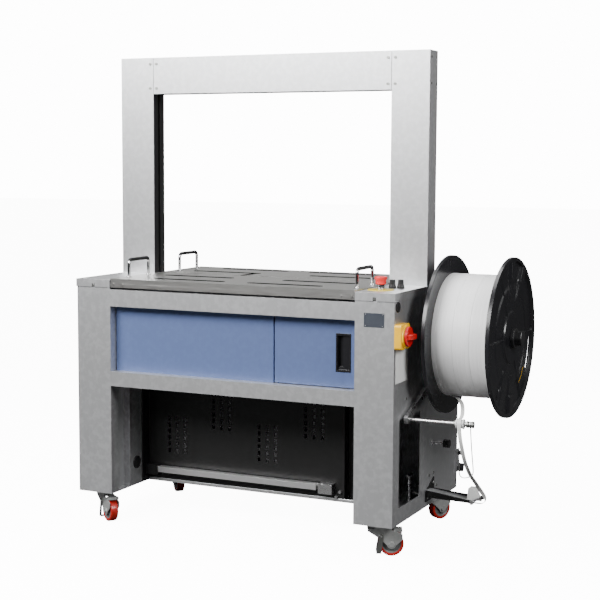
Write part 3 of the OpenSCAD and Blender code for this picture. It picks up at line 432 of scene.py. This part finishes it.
def lathe(mesh, profile, centre, axis, steps=64, lobes=None, material=0, ring=False):
    """Turns a profile of (radius, height) in mm about an axis. lobes gives a factor for the
    radius at an angle. A ring's profile is a closed loop; any other starts and ends on the axis."""
    first, second, third = directions(axis)
    rows = []
    for radius, height in profile:
        base = centre + third * height * MM
        if radius == 0:
            rows.append([mesh.verts.new(base)])
            continue
        row = []
        for i in range(steps):
            turn = 2 * math.pi * i / steps
            grow = lobes(turn) if lobes else 1.0
            spoke = first * math.cos(turn) + second * math.sin(turn)
            row.append(mesh.verts.new(base + spoke * radius * grow * MM))
        rows.append(row)
    pairs = list(zip(rows, rows[1:]))
    if ring:
        pairs.append((rows[-1], rows[0]))
    for low, high in pairs:
        for i in range(steps):
            j = (i + 1) % steps
            corners = [low[i % len(low)], low[j % len(low)], high[j % len(high)], high[i % len(high)]]
            unique = list(dict.fromkeys(corners))
            if len(unique) > 2:
                mesh.faces.new(unique).material_index = material


def arc(centre, radius, start, end, steps=6):
    """Points of an arc in a profile, from a start angle to an end angle in degrees."""
    cx, cy = centre
    turns = [math.radians(start + (end - start) * i / steps) for i in range(steps + 1)]
    return [(cx + radius * math.cos(t), cy + radius * math.sin(t)) for t in turns]


def tube(mesh, points, radius, sides=12, material=0):
    """A round tube with closed ends along points in metres."""
    rings = []
    normal = None
    for i, point in enumerate(points):
        ahead = points[min(i + 1, len(points) - 1)] - points[max(i - 1, 0)]
        tangent = ahead.normalized()
        if normal is None:
            seed = Vector((0, 0, 1)) if abs(tangent.z) < 0.9 else Vector((1, 0, 0))
            normal = tangent.cross(seed).normalized()
        normal = (normal - tangent * normal.dot(tangent)).normalized()
        other = tangent.cross(normal)
        rings.append([mesh.verts.new(point + (normal * math.cos(2 * math.pi * k / sides)
                                              + other * math.sin(2 * math.pi * k / sides)) * radius * MM)
                      for k in range(sides)])
    made = []
    for low, high in zip(rings, rings[1:]):
        for k in range(sides):
            made.append(mesh.faces.new((low[k], low[(k + 1) % sides], high[(k + 1) % sides], high[k])))
    made.append(mesh.faces.new(rings[0][::-1]))
    made.append(mesh.faces.new(rings[-1]))
    for face in made:
        face.material_index = material


def block(mesh, low, high, material=0):
    """A box between two corners in metres."""
    made = bmesh.ops.create_cube(mesh, size=1)
    centre = (low + high) / 2
    size = high - low
    for vert in made["verts"]:
        vert.co = Vector((vert.co.x * size.x, vert.co.y * size.y, vert.co.z * size.z)) + centre
    for face in {f for v in made["verts"] for f in v.link_faces}:
        face.material_index = material


def smooth_path(points, steps=6):
    """A Catmull-Rom curve through points."""
    ends = [2 * points[0] - points[1], *points, 2 * points[-1] - points[-2]]
    made = []
    for a, b, c, d in zip(ends, ends[1:], ends[2:], ends[3:]):
        for i in range(steps):
            t = i / steps
            made.append(0.5 * (2 * b + (c - a) * t + (2 * a - 5 * b + 4 * c - d) * t * t
                               + (3 * b - a - 3 * c + d) * t ** 3))
    made.append(points[-1])
    return made


# ---- Casing --------------------------------------------------------------------------------


def finish_casing():
    """Painted sheet metal with rolled edges."""
    for node in ("right_leg", "table_end_caps", "front_rails", "right_rear_cover", "rear_panel",
                 "arch_left_column", "arch_right_column", "arch_beam", "base_tray"):
        soften(node, [GREY], width=1.2, segments=3)
    soften("left_leg", [GREY, BLACK_SATIN], width=1.2, segments=3,
           pick=lambda p, n: int(-426 < p.x < -420 and math.hypot(p.y - 153, p.z - 178) < 22))
    soften("left_front_panel", [BLUE], width=1.0, segments=3)
    soften("front_door", [BLUE], width=1.0, segments=3)
    soften("vent_panel", [BLACK_PAINT], width=0.8)
    soften("strap_track", [BLACK_SATIN], width=0.8)
    soften("door_pull", [BLACK_GLOSS], width=0.9, segments=3)
    soften("casing_screws", [DARK_ZINC], width=0.35)
    soften("cable_gland", [BLACK_SATIN], width=0.9, segments=3)


SLOTS = {"front_top": ((-300, 76), (36, 76), (-336, 205), (95, 205)),
         "rear_top": ((-340, 405), (97, 405), (-298, 535), (34, 535))}
SLOT_LEN = 245
SLOT_R = 8
# Section of the black liner ring in each slot, which paints the shade inside the slot.
LINER_W = 5.5
LINER_GAP = 0.1
LINER_SECTION = ((SLOT_R - LINER_GAP, 800.5), (SLOT_R - LINER_GAP, 804.3),
                 (SLOT_R + LINER_W, 804.3), (SLOT_R + LINER_W, 803.6))


def slot_outline(x, y, radius, height):
    """Points round a long slot with round ends, at a height; x is the slot's own left end."""
    ends = ((x + SLOT_LEN - SLOT_R, -90), (x + SLOT_R, 90))
    return [at(px, py, height) for middle, start in ends
            for px, py in arc((middle, y), radius, start, start + 180, 10)]


def make_slot_liners(node):
    """Black liners with no sheen set into the table's slots: a dark piece put where the slots lie in shade,
    painting that shade.
    """
    mesh = bmesh.new()
    for x, y in SLOTS[node]:
        rows = [slot_outline(x, y, radius, height) for radius, height in LINER_SECTION]
        rings = [[mesh.verts.new(point) for point in row] for row in rows]
        for low, high in zip(rings, rings[1:] + rings[:1]):
            for i in range(len(low)):
                j = (i + 1) % len(low)
                mesh.faces.new((low[i], low[j], high[j], high[i]))
    bmesh.ops.recalc_face_normals(mesh, faces=mesh.faces)
    piece = new_piece(node + "_slot_liners", mesh, [SLOT_SHADE])
    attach(piece, NODES[node]["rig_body"])


def finish_table():
    for node in ("front_top", "rear_top"):
        soften(node, [STAINLESS], width=0.5)
        # Black liners that paint the shade inside the slots.
        make_slot_liners(node)
    soften("foot_bar", [BAR_STEEL], width=0.6)
    soften("foot_bar_mounts", [BLACK_PAINT, ZINC], width=0.8,
           pick=lambda p, n: int(p.x > 214))


finish_casing()
finish_table()
for node, material in (("head_frame", MACHINED), ("cam_shaft", MACHINED), ("motor_pulley", MACHINED),
                       ("drive_motor", BLACK_PAINT), ("drive_belt", GRIP), ("control_box", GREY),
                       ("strap_pool_box", GREY)):
    NODES[node].data.materials.clear()
    NODES[node].data.materials.append(material)

# ---- Handles -------------------------------------------------------------------------------

HANDLE_X = 400
HANDLE_TOP = 861
HANDLE_R = 5
HANDLE_BEND = 14


def handle_path(x, y0, y1):
    """The handle's centreline from one foot over the grip to the other."""
    lift = HANDLE_TOP - HANDLE_BEND
    path = [at(x, y0, TABLE_TOP), at(x, y0, lift - 8)]
    path += [at(x, y, z) for y, z in arc((y0 + HANDLE_BEND, lift), HANDLE_BEND, 180, 90, 8)]
    path += [at(x, y, z) for y, z in arc((y1 - HANDLE_BEND, lift), HANDLE_BEND, 90, 0, 8)]
    return path + [at(x, y1, lift - 8), at(x, y1, TABLE_TOP)]


def make_handles(node, y0, y1):
    """Chrome handles with a black sleeve over the grip and round feet."""
    mesh = bmesh.new()
    for x in (-HANDLE_X, HANDLE_X):
        path = handle_path(x, y0, y1)
        tube(mesh, path, HANDLE_R, 16)
        tube(mesh, [p for p in path if p.z > at(0, 0, HANDLE_TOP - 6).z], HANDLE_R + 0.9, 16, material=1)
        for y in (y0, y1):
            lathe(mesh, [(0, 0), (8, 0), (8, 2), *arc((7, 2), 1, 0, 90, 3), (5, 3.2), (0, 3.2)],
                  at(x, y, TABLE_TOP), "z", 32)
    piece = new_piece(node + "_finished", mesh, [CHROME, GRIP], sharp=40)
    stand_for(piece, node, slot="chrome")


make_handles("front_top_handles", 75, 195)
make_handles("rear_top_handles", 400, 520)

# ---- Controls ------------------------------------------------------------------------------


def make_estop():
    low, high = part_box("estop_base")
    centre = Vector(((low.x + high.x) / 2, (low.y + high.y) / 2, at(0, 0, 800).z))
    base = bmesh.new()
    lathe(base, [(11.3, 0), (40, 0), (40, 1.2), *arc((39.2, 1.2), 0.8, 0, 90, 3), (13, 2), (11.3, 2)],
          centre, "z", 64, ring=True)
    lathe(base, [(5.1, -14), (11.3, -14), (11.3, 16.7), *arc((10.5, 16.7), 0.8, 0, 90, 3), (5.1, 17.5)],
          centre, "z", 48, material=1, ring=True)
    lathe(base, [(11.3, -10), (15, -10), (15, -3), (11.3, -3)], centre, "z", 6, material=1, ring=True)
    stand_for(new_piece("estop_base_finished", base, [YELLOW_DISC, CHROME]), "estop_base",
              slot="yellow_plastic")
    head = bmesh.new()
    profile = [(0, -5), (5, -5), (5, 24), (12.3, 24), (12.3, 18.6), (13, 18), (15.2, 18), (16, 18.8),
               (16, 30.8), (17, 32), (18.2, 32), (19, 32.8), (19, 38), *arc((16, 38), 3, 0, 90, 5), (0, 41.3)]
    lathe(head, profile, centre, "z", 64)
    stand_for(new_piece("estop_button_finished", head, [RED_SOFT]), "estop_button", slot="red_plastic")


def make_control_knob(node):
    """Fluted knob on a flared skirt with a pointer rib."""
    centre = joint_point(node.replace("_control_knob", "_knob_turn")).copy()
    centre.z = at(0, 0, 800.3).z
    mesh = bmesh.new()
    skirt = [(0, -12), (3, -12), (3, 0), (11.4, 0), (12, 0.6), (12, 3), (9.5, 11), (8.2, 11.6), (0, 11.6)]
    lathe(mesh, skirt, centre, "z", 48)
    lathe(mesh, [(0, 11), (8.5, 11), (8.2, 24.5), *arc((6.7, 24.5), 1.5, 0, 90, 3), (0, 26)], centre, "z", 72,
          lobes=lambda t: 1 + 0.035 * math.cos(12 * t))
    block(mesh, centre + Vector((-1.2, -9.3, 11.5)) * MM, centre + Vector((1.2, 0, 26.4)) * MM)
    stand_for(new_piece(node + "_finished", mesh, [BLACK_SATIN]), node, slot="black_plastic")


def make_main_switch():
    soften("main_switch_body", [YELLOW], width=1.6, segments=4)
    centre = joint_point("main_switch_turn").copy()
    centre.x = at(578.3, 0, 0).x
    mesh = bmesh.new()
    disc = [(0, -22), (6, -22), (6, 0), (29, 0), (30, 1), (29.2, 7.2), *arc((28.2, 7.2), 1, 0, 90, 3), (0, 8)]
    lathe(mesh, disc, centre, "x", 72, lobes=lambda t: 1 + 0.012 * math.cos(24 * t))
    grip = [(-26, -6.5), (-22, -8), (22, -8), (26, -6.5), (26, 6.5), (22, 8), (-22, 8), (-26, 6.5)]
    rows = []
    for height, shrink in ((7.5, 1.0), (19.0, 0.93), (21.0, 0.86)):
        rows.append([mesh.verts.new(centre + Vector((height, y * shrink, z * shrink)) * MM) for y, z in grip])
    for lower, upper in zip(rows, rows[1:]):
        for i in range(len(grip)):
            j = (i + 1) % len(grip)
            mesh.faces.new((lower[i], lower[j], upper[j], upper[i]))
    mesh.faces.new(rows[-1])
    mesh.faces.new(rows[0][::-1])
    piece = new_piece("main_switch_knob_finished", mesh, [RED])
    bevelled(piece, 0.8, 2, 35)
    stand_for(piece, "main_switch_knob", slot="red_plastic")


make_estop()
make_control_knob("left_control_knob")
make_control_knob("right_control_knob")
make_main_switch()


def cover_knob_material(p, n):
    """Bright stud and guide post, grey bracket, black knobs."""
    if p.x < 520 or (p.y < 360 and p.x < 589):
        return 1
    return 2 if p.y > 560 and p.x < 553.5 else 0


soften("cover_knobs", [BLACK_SATIN, ZINC, GREY], width=0.8, segments=3, pick=cover_knob_material)


def make_plates():
    """Blank rating plate on the right leg's front and blank label on its side."""
    plate = bmesh.new()
    block(plate, at(454, -0.9, 698), at(518, 0, 740))
    for x in (459, 513):
        for z in (702, 736):
            lathe(plate, [(0, 0), (1.6, 0), (1.2, 1.5), (0, 1.7)], at(x, 0, z), (0, -1, 0), 16, material=1)
    piece = bevelled(new_piece("blank_rating_plate", plate, [PLATE_GREY, ZINC]), 0.3)
    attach(piece, "machine_body")
    label = bmesh.new()
    block(label, at(550, 12, 532), at(550.5, 112, 634))
    piece = bevelled(new_piece("blank_label", label, [LABEL_WHITE]), 0.2)
    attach(piece, "machine_body")


make_plates()

# ---- Reel ----------------------------------------------------------------------------------

REEL = joint_point("reel_spin")
REEL_R = 244
WEB = 4
RIM = 12
RIM_W = 12
LIP_R = 243.5
HUB_R = 78
BORE_R = 15.05
INNER_X = 621
OUTER_X = 804
ROLL_GAP = 0.3
ROLL_TURNS = 14
WINDOW_R = (202, 217)
WINDOW_FROM = (-34,)
WINDOW_ANGLE = 28
WIDE_RIBS = (60, 90, 240, 270)
PLAIN_RIBS = (0, 120, 180, 300)
# Turns in degrees of a short yellow arc on the outer flange: a painted reflection of yellow light, not a
# part.
PAINTED_REFLECTION_TURNS = (-57, -36)


def ease(value):
    value = max(0.0, min(1.0, value))
    return value * value * (3 - 2 * value)


def band(value, half, slope):
    """1 inside a half width, falling to 0 over a slope."""
    return ease((half + slope - abs(value)) / slope)


def across_rib(radius, turn, rib):
    """Distance from a rib's middle line, or None on the other half of the flange."""
    off = math.remainder(turn - math.radians(rib), 2 * math.pi)
    return radius * math.sin(off) if abs(off) < math.pi / 2 else None


def flange_height(radius, turn):
    """Height of the flange's outer face above its inner face."""
    height = WEB + 1.2 * ease((158 - radius) / 2)
    if radius > REEL_R - RIM_W - 3:
        height = WEB + (RIM - WEB) * ease((radius - (REEL_R - RIM_W - 3)) / 3)
    if radius < HUB_R + 4:
        height = WEB + (RIM - 2 - WEB) * ease((HUB_R + 4 - radius) / 4)
    for rib in WIDE_RIBS:
        across = across_rib(radius, turn, rib)
        if across is not None and abs(across) < 25:
            step = 4 + 3 * ease((radius - 177) / 3)
            dome = math.sqrt(max(0.0, 1 - (across / 25) ** 2))
            start = ease((radius - 108) / 14)
            height = max(height, WEB + step * min(1.0, 1.25 * dome) * start)
    for rib in PLAIN_RIBS:
        across = across_rib(radius, turn, rib)
        if across is not None:
            height = max(height, WEB + 4 * band(across, 1.8, 1.4) * ease((radius - 66) / 6))
    return height


FLANGE_RADII = (BORE_R, 27, 40, 55, 70, 76, 78, 80, 82, 90, 100, 108, 112, 116, 122, 132, 145, 156, 158, 166,
                176, 178.5, 180.5, 183, 187, 194, 202, 209, 217, 224, 229, 230.5, 232, 238, 243, 244)
# Radii of the painted yellow reflection on the outer flange.
PAINTED_REFLECTION_R = (180.5, 183)


def reel_at(x):
    """A point of the reel's axis at the machine's own x."""
    return Vector((at(x, 0, 0).x, REEL.y, REEL.z))


def make_flange(inner_x, outward, windows_and_painted_reflection):
    """Moulded flange on a polar grid; its window openings are left out of the grid. The flange with openings
    also gets a short yellow arc on its face: a painted reflection.
    """
    steps = 360
    radii = FLANGE_RADII
    mesh = bmesh.new()
    rows_out, rows_in = [], []
    for radius in radii:
        outer_row, inner_row = [], []
        for i in range(steps):
            turn = 2 * math.pi * i / steps
            spot = Vector((0, math.cos(turn), math.sin(turn))) * radius
            chamfer = 1.0 if radius > LIP_R else 0
            height = flange_height(radius, turn) - chamfer
            outer_row.append(mesh.verts.new(reel_at(inner_x + outward * height) + spot * MM))
            inner_row.append(mesh.verts.new(reel_at(inner_x + outward * chamfer) + spot * MM))
        rows_out.append(outer_row)
        rows_in.append(inner_row)

    def in_window(row, i):
        middle = (radii[row] + radii[row + 1]) / 2
        turn = 360 * (i + 0.5) / steps
        inside = any(0 < (turn - start) % 360 < WINDOW_ANGLE for start in WINDOW_FROM)
        return windows_and_painted_reflection and inside and WINDOW_R[0] < middle < WINDOW_R[1]

    # Faces of the outer flange that carry the painted yellow reflection.
    def in_painted_reflection(row, i):
        middle = (radii[row] + radii[row + 1]) / 2
        turn = math.remainder(360 * i / steps, 360)
        return windows_and_painted_reflection and PAINTED_REFLECTION_R[0] < middle < PAINTED_REFLECTION_R[1] and PAINTED_REFLECTION_TURNS[0] < turn < PAINTED_REFLECTION_TURNS[1]

    for row in range(len(radii) - 1):
        out, beyond_out = rows_out[row], rows_out[row + 1]
        back, beyond_back = rows_in[row], rows_in[row + 1]
        for i in range(steps):
            j = (i + 1) % steps
            if in_window(row, i):
                continue
            outer = mesh.faces.new((out[i], out[j], beyond_out[j], beyond_out[i]))
            # Material 1 paints the yellow reflection on these faces.
            outer.material_index = int(in_painted_reflection(row, i))
            mesh.faces.new((back[i], beyond_back[i], beyond_back[j], back[j]))
            for k, beside in ((i, (i - 1) % steps), (j, j)):
                if in_window(row, beside):
                    mesh.faces.new((out[k], beyond_out[k], beyond_back[k], back[k]))
            for edge_row, neighbour in ((row, row - 1), (row + 1, row + 1)):
                if not 0 <= neighbour < len(radii) - 1 or in_window(neighbour, i):
                    mesh.faces.new((rows_out[edge_row][i], rows_out[edge_row][j],
                                    rows_in[edge_row][j], rows_in[edge_row][i]))
    loose = [v for v in mesh.verts if not v.link_faces]
    bmesh.ops.delete(mesh, geom=loose, context="VERTS")
    bmesh.ops.recalc_face_normals(mesh, faces=mesh.faces)
    return mesh


def make_flanges():
    outer = make_flange(OUTER_X, 1, True)
    lathe(outer, [(BORE_R, 10), (34, 10), (34, 12), (BORE_R, 12)], reel_at(OUTER_X), "x", 64, ring=True)
    # YELLOW, the outer flange's second material, paints the reflection arc.
    stand_for(new_piece("reel_outer_flange_finished", outer, [BLACK_GLOSS, YELLOW], sharp=35),
              "reel_outer_flange", slot="black_plastic")
    inner = make_flange(INNER_X, -1, False)
    width = OUTER_X - INNER_X
    lathe(inner, [(96, 0), (100, 0), (100, width), (96, width)], reel_at(INNER_X), "x", 96, ring=True)
    lathe(inner, [(BORE_R, 0), (21, 0), (21, width), (BORE_R, width)], reel_at(INNER_X), "x", 48, ring=True)
    stand_for(new_piece("reel_inner_flange_finished", inner, [BLACK_GLOSS], sharp=35), "reel_inner_flange",
              slot="black_plastic")


def make_roll():
    """The roll of strap, as turns side by side that stand up by slightly different amounts."""
    roll = bmesh.new()
    start_x = INNER_X + ROLL_GAP
    pitch = (OUTER_X - ROLL_GAP - start_x) / ROLL_TURNS
    profile = [(100.2, 0)]
    for i in range(ROLL_TURNS):
        start = i * pitch
        lift = 189 - 0.5 * ((i * 7) % 4) / 3
        profile += [(lift - 0.35, start + 0.01), (lift - 0.06, start + 0.4), (lift, start + 1.0),
                    (lift, start + pitch - 1.0), (lift - 0.06, start + pitch - 0.4)]
    profile += [(188, ROLL_TURNS * pitch), (100.2, ROLL_TURNS * pitch)]
    lathe(roll, profile, reel_at(start_x), "x", 160, ring=True)
    bmesh.ops.recalc_face_normals(roll, faces=roll.faces)
    stand_for(new_piece("strap_roll_finished", roll, [ROLL], sharp=50), "strap_roll", slot="white_strap")


def make_reel_nut():
    nut = bmesh.new()
    profile = [(BORE_R, 0), (29, 0), (30, 1), (30, 9), (29, 10), (23, 10.5), (23, 30), (21.5, 32), (0, 32),
               (0, 28), (BORE_R, 28)]
    lathe(nut, profile, reel_at(OUTER_X + RIM), "x", 96, lobes=lambda t: 1 + 0.05 * math.cos(6 * t))
    bmesh.ops.recalc_face_normals(nut, faces=nut.faces)
    stand_for(new_piece("reel_nut_finished", nut, [BLACK_SATIN]), "reel_nut", slot="black_plastic")


make_flanges()
make_roll()
make_reel_nut()
soften("reel_axle", [ZINC, BLACK_PAINT], width=0.8, pick=lambda p, n: int(p.x < 600))

# ---- Tension arm and strap -----------------------------------------------------------------

# The wire bail's centreline, from its eye to its free end
BAIL = [(758.5, 85.5, 411), (758.5, 91, 381), (758.5, 98, 349), (758.5, 107, 316), (758.5, 116, 285),
        (757.5, 121, 270), (754, 125, 260), (747, 127, 254), (738, 129, 250), (728, 130, 247.5),
        (720, 130.5, 248), (714.5, 129, 253), (713, 126, 261), (714.5, 121, 272), (716, 114, 294),
        (716, 106, 322)]

# The strap's centreline from the roll to the inlet, with its twist in degrees last
STRAP_ROUTE = [
    (640, 258, 467.5, 0), (668, 228, 469, 0), (694, 190, 463, 0), (712, 150, 454, 0), (723, 116, 443, 0),
    (727, 96, 436, 0), (728, 84, 434.2, 0), (728, 77.8, 433, 0), (728.3, 72.5, 429.5, 0),
    (728.6, 69, 424.2, 0), (729, 67.8, 418, 0), (730, 67.8, 404, 0),
    (733, 71, 372, 0), (735, 84, 340, 0), (735, 106, 306, 3), (735, 134, 276, 8), (735, 166, 248, 16),
    (737, 204, 220, 28), (739, 242, 192, 45), (741, 274, 168, 65), (741.5, 292, 155, 80), (741, 301, 146, 88),
    (737, 305, 136, 90), (728, 305, 130.5, 90), (712, 305, 129.6, 90), (660, 305, 132, 90),
    (600, 305, 136, 90), (548, 305, 139, 90), (500, 305, 140, 90)]
STRAP_W = 12
STRAP_T = 0.8
STRAP_SECTION = ((-0.5, -0.5), (-0.17, -0.5), (0.17, -0.5), (0.5, -0.5),
                 (0.5, 0.5), (0.17, 0.5), (-0.17, 0.5), (-0.5, 0.5))
STRAP_STEPS = 6
AT_ROLLER = 7


def guide_arm_material(p, n):
    """Grey web between black flanges, bright screws."""
    if abs(n.y) < 0.3 and n.z > 0.5 and 289 < p.y < 321:
        return 1
    return 2 if p.y < 285 and p.x > 690 or (p.y > 340 and p.x > 553.2) else 0


def make_arm():
    soften("dancer_arm", [ZINC, DARK_ZINC], width=0.7,
           pick=lambda p, n: int(p.x > 700 and (abs(n.x) > 0.9 or math.hypot(p.y - 84, p.z - 418) > 8)))
    roller = bmesh.new()
    low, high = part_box("dancer_roller")
    wide = (high.x - low.x) / MM
    centre = joint_point("dancer_roller_spin").copy()
    centre.x = low.x
    profile = [(6.05, 0), (14, 0), (15, 1), (15, 3), (13.6, 4.5), (13.6, wide - 4.5), (15, wide - 3),
               (15, wide - 1), (14, wide), (6.05, wide)]
    lathe(roller, profile, centre, "x", 48, ring=True)
    bmesh.ops.recalc_face_normals(roller, faces=roller.faces)
    stand_for(new_piece("dancer_roller_finished", roller, [NYLON]), "dancer_roller", slot="white_plastic")
    bail = bmesh.new()
    tube(bail, smooth_path([at(*p) for p in BAIL], 4), 1.75, 12)
    eye = joint_point("bail_swing").copy()
    eye.x = at(756, 0, 0).x
    lathe(bail, [(6.05, 0), (8.4, 0), (9, 0.6), (9, 4.4), (8.4, 5), (6.05, 5)], eye, "x", 40, ring=True)
    stand_for(new_piece("wire_bail_finished", bail, [ZINC]), "wire_bail", slot="zinc")
    soften("lower_guide_arm", [BLACK_PAINT, GREY, ZINC], width=0.5, pick=guide_arm_material)
    soften("guide_block", [NYLON], width=1.2, segments=3)
    tip = bmesh.new()
    centre = joint_point("tip_roller_spin").copy()
    centre.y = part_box("tip_roller")[0].y
    profile = [(2.05, 0), (5, 0), (6, 1), (6, 3), (4.6, 4), (4.6, 26), (6, 27), (6, 29), (5, 30), (2.05, 30)]
    lathe(tip, profile, centre, "y", 32, ring=True)
    bmesh.ops.recalc_face_normals(tip, faces=tip.faces)
    stand_for(new_piece("tip_roller_finished", tip, [BLACK_SATIN]), "tip_roller", slot="black_plastic")


def strap_mesh(points, twists):
    """A flat strap with closed ends along points, its width turned from x towards y by the twists."""
    mesh = bmesh.new()
    rings = []
    for i, (point, twist) in enumerate(zip(points, twists)):
        tangent = (points[min(i + 1, len(points) - 1)] - points[max(i - 1, 0)]).normalized()
        turn = math.radians(twist.x)
        width = Vector((math.cos(turn), math.sin(turn), 0))
        width = (width - tangent * width.dot(tangent)).normalized()
        thick = tangent.cross(width)
        corners = []
        for across, up in STRAP_SECTION:
            corners.append(mesh.verts.new(point + (width * across * STRAP_W + thick * up * STRAP_T) * MM))
        rings.append(corners)
    count = len(rings[0])
    for low, high in zip(rings, rings[1:]):
        for k in range(count):
            mesh.faces.new((low[k], low[(k + 1) % count], high[(k + 1) % count], high[k]))
    mesh.faces.new(rings[0][::-1])
    mesh.faces.new(rings[-1])
    return mesh


def make_strap():
    """The strap from the roll over the tension roller to the inlet, in two pieces that meet at the roller."""
    points = smooth_path([at(*p[:3]) for p in STRAP_ROUTE], STRAP_STEPS)
    twists = smooth_path([Vector((p[3], 0, 0)) for p in STRAP_ROUTE], STRAP_STEPS)
    split = AT_ROLLER * STRAP_STEPS
    over = strap_mesh(points[:split + 1], twists[:split + 1])
    under = strap_mesh(points[split:], twists[split:])
    upper = new_piece("strap_from_roll", over, [STRAP], sharp=40)
    lower = new_piece("strap_to_inlet", under, [STRAP], sharp=40)
    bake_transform(upper)
    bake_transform(lower)
    for piece in (upper, lower):
        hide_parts("strap_run")


make_arm()
make_strap()

# ---- Casters -------------------------------------------------------------------------------


def make_wheel(corner):
    node = "caster_wheel_" + corner
    joint = JOINTS["caster_roll_" + corner]
    centre = Vector(joint["pos_m"])
    mesh = bmesh.new()
    tyre = [(28, -11.5), (30, -12.6), *arc((34.5, -10), 3, -90, 0, 5), *arc((34.5, 10), 3, 0, 90, 5),
            (30, 12.6), (28, 11.5)]
    lathe(mesh, tyre, centre, joint["axis"], 72, ring=True)
    hub = [(5.05, -14.7), (11, -14.7), (12, -13.7), (12.5, -9.6), (24, -9.0), (26, -11), (28.1, -11.6),
           (28.1, 11.6), (26, 11), (24, 9.0), (12.5, 9.6), (12, 13.7), (11, 14.7), (5.05, 14.7)]
    lathe(mesh, hub, centre, joint["axis"], 72, material=1, ring=True)
    bmesh.ops.recalc_face_normals(mesh, faces=mesh.faces)
    stand_for(new_piece(node + "_finished", mesh, [TYRE, HUB_GREY]), node, slot="red_tyre")


for corner in ("fl", "fr", "rl", "rr"):
    make_wheel(corner)
    soften("caster_fork_" + corner, [FORK_ZINC], width=0.6)
for corner in ("fl", "fr"):
    soften("brake_pedal_" + corner, [DARK_ZINC], width=0.6)
soften("caster_plates", [FORK_ZINC], width=0.6)

# ---- Studio --------------------------------------------------------------------------------

BACKDROP = 14
FLOOR_GLOW = 12
FLOOR_SIZE = 30
AMBIENT = (0.02, 0.25)
# Name, place, target and size in metres, power in watts
LIGHTS = (("key", (-1.4, -2.7, 2.7), (0, 0, 1.2), (2.4, 1.5), 285),
          ("side", (3.0, -1.2, 2.3), (0.5, 0, 0.8), (1.2, 1.2), 95),
          ("rim", (2.6, 2.6, 1.5), (0.6, 0, 0.7), (0.5, 1.8), 4),
          ("table_card", (-1.3, 2.8, 1.25), (0, 0.2, 0.8), (2.6, 0.9), 4.5),
          ("top", (-0.4, 0.4, 3.8), (0, 0.1, 0.8), (2.4, 1.6), 85))


def area_light(name, where, target, size, power):
    data = bpy.data.lights.new(name, "AREA")
    data.shape = "RECTANGLE"
    data.size, data.size_y = size
    data.energy = power
    light = bpy.data.objects.new(name, data)
    bpy.context.scene.collection.objects.link(light)
    light.location = where
    light.rotation_euler = (Vector(target) - Vector(where)).to_track_quat("-Z", "Y").to_euler()
    light.visible_camera = False


def seen_or_lit(tree, seen, lit):
    """Mixes two shaders: what the camera sees, and what every other ray meets."""
    path = tree.nodes.new("ShaderNodeLightPath")
    mix = tree.nodes.new("ShaderNodeMixShader")
    tree.links.new(path.outputs["Is Camera Ray"], mix.inputs[0])
    tree.links.new(lit.outputs[0], mix.inputs[1])
    tree.links.new(seen.outputs[0], mix.inputs[2])
    return mix


def make_floor():
    """A floor that is pale to the camera and dark to every other ray."""
    mesh = bmesh.new()
    bmesh.ops.create_grid(mesh, x_segments=1, y_segments=1, size=FLOOR_SIZE)
    material = bpy.data.materials.new("studio_floor")
    material.use_nodes = True
    tree = material.node_tree
    lit = tree.nodes["Principled BSDF"]
    lit.inputs["Base Color"].default_value = (0.05, 0.05, 0.05, 1)
    lit.inputs["Roughness"].default_value = 0.8
    diffuse = tree.nodes.new("ShaderNodeBsdfDiffuse")
    diffuse.inputs["Color"].default_value = (0.9, 0.9, 0.9, 1)
    glow = tree.nodes.new("ShaderNodeEmission")
    glow.inputs["Strength"].default_value = FLOOR_GLOW
    both = tree.nodes.new("ShaderNodeAddShader")
    tree.links.new(diffuse.outputs[0], both.inputs[0])
    tree.links.new(glow.outputs[0], both.inputs[1])
    mix = seen_or_lit(tree, both, lit)
    tree.links.new(mix.outputs[0], tree.nodes["Material Output"].inputs["Surface"])
    new_piece("studio_floor", mesh, [material])


def make_world():
    """White to the camera; to the object a dark studio that is lighter overhead."""
    world = bpy.data.worlds.new("studio")
    world.use_nodes = True
    tree = world.node_tree
    seen = tree.nodes["Background"]
    seen.inputs["Color"].default_value = (1, 1, 1, 1)
    seen.inputs["Strength"].default_value = BACKDROP
    lit = tree.nodes.new("ShaderNodeBackground")
    lit.inputs["Color"].default_value = (1, 1, 1, 1)
    direction = tree.nodes.new("ShaderNodeTexCoord")
    split = tree.nodes.new("ShaderNodeSeparateXYZ")
    height = tree.nodes.new("ShaderNodeMapRange")
    ends = (("From Min", -0.1), ("From Max", 1.0), ("To Min", AMBIENT[0]), ("To Max", AMBIENT[1]))
    for key, number in ends:
        height.inputs[key].default_value = number
    tree.links.new(direction.outputs["Generated"], split.inputs[0])
    tree.links.new(split.outputs["Z"], height.inputs["Value"])
    tree.links.new(height.outputs["Result"], lit.inputs["Strength"])
    mix = seen_or_lit(tree, seen, lit)
    tree.links.new(mix.outputs[0], tree.nodes["World Output"].inputs["Surface"])
    bpy.context.scene.world = world


make_floor()
make_world()
for light in LIGHTS:
    area_light(*light)
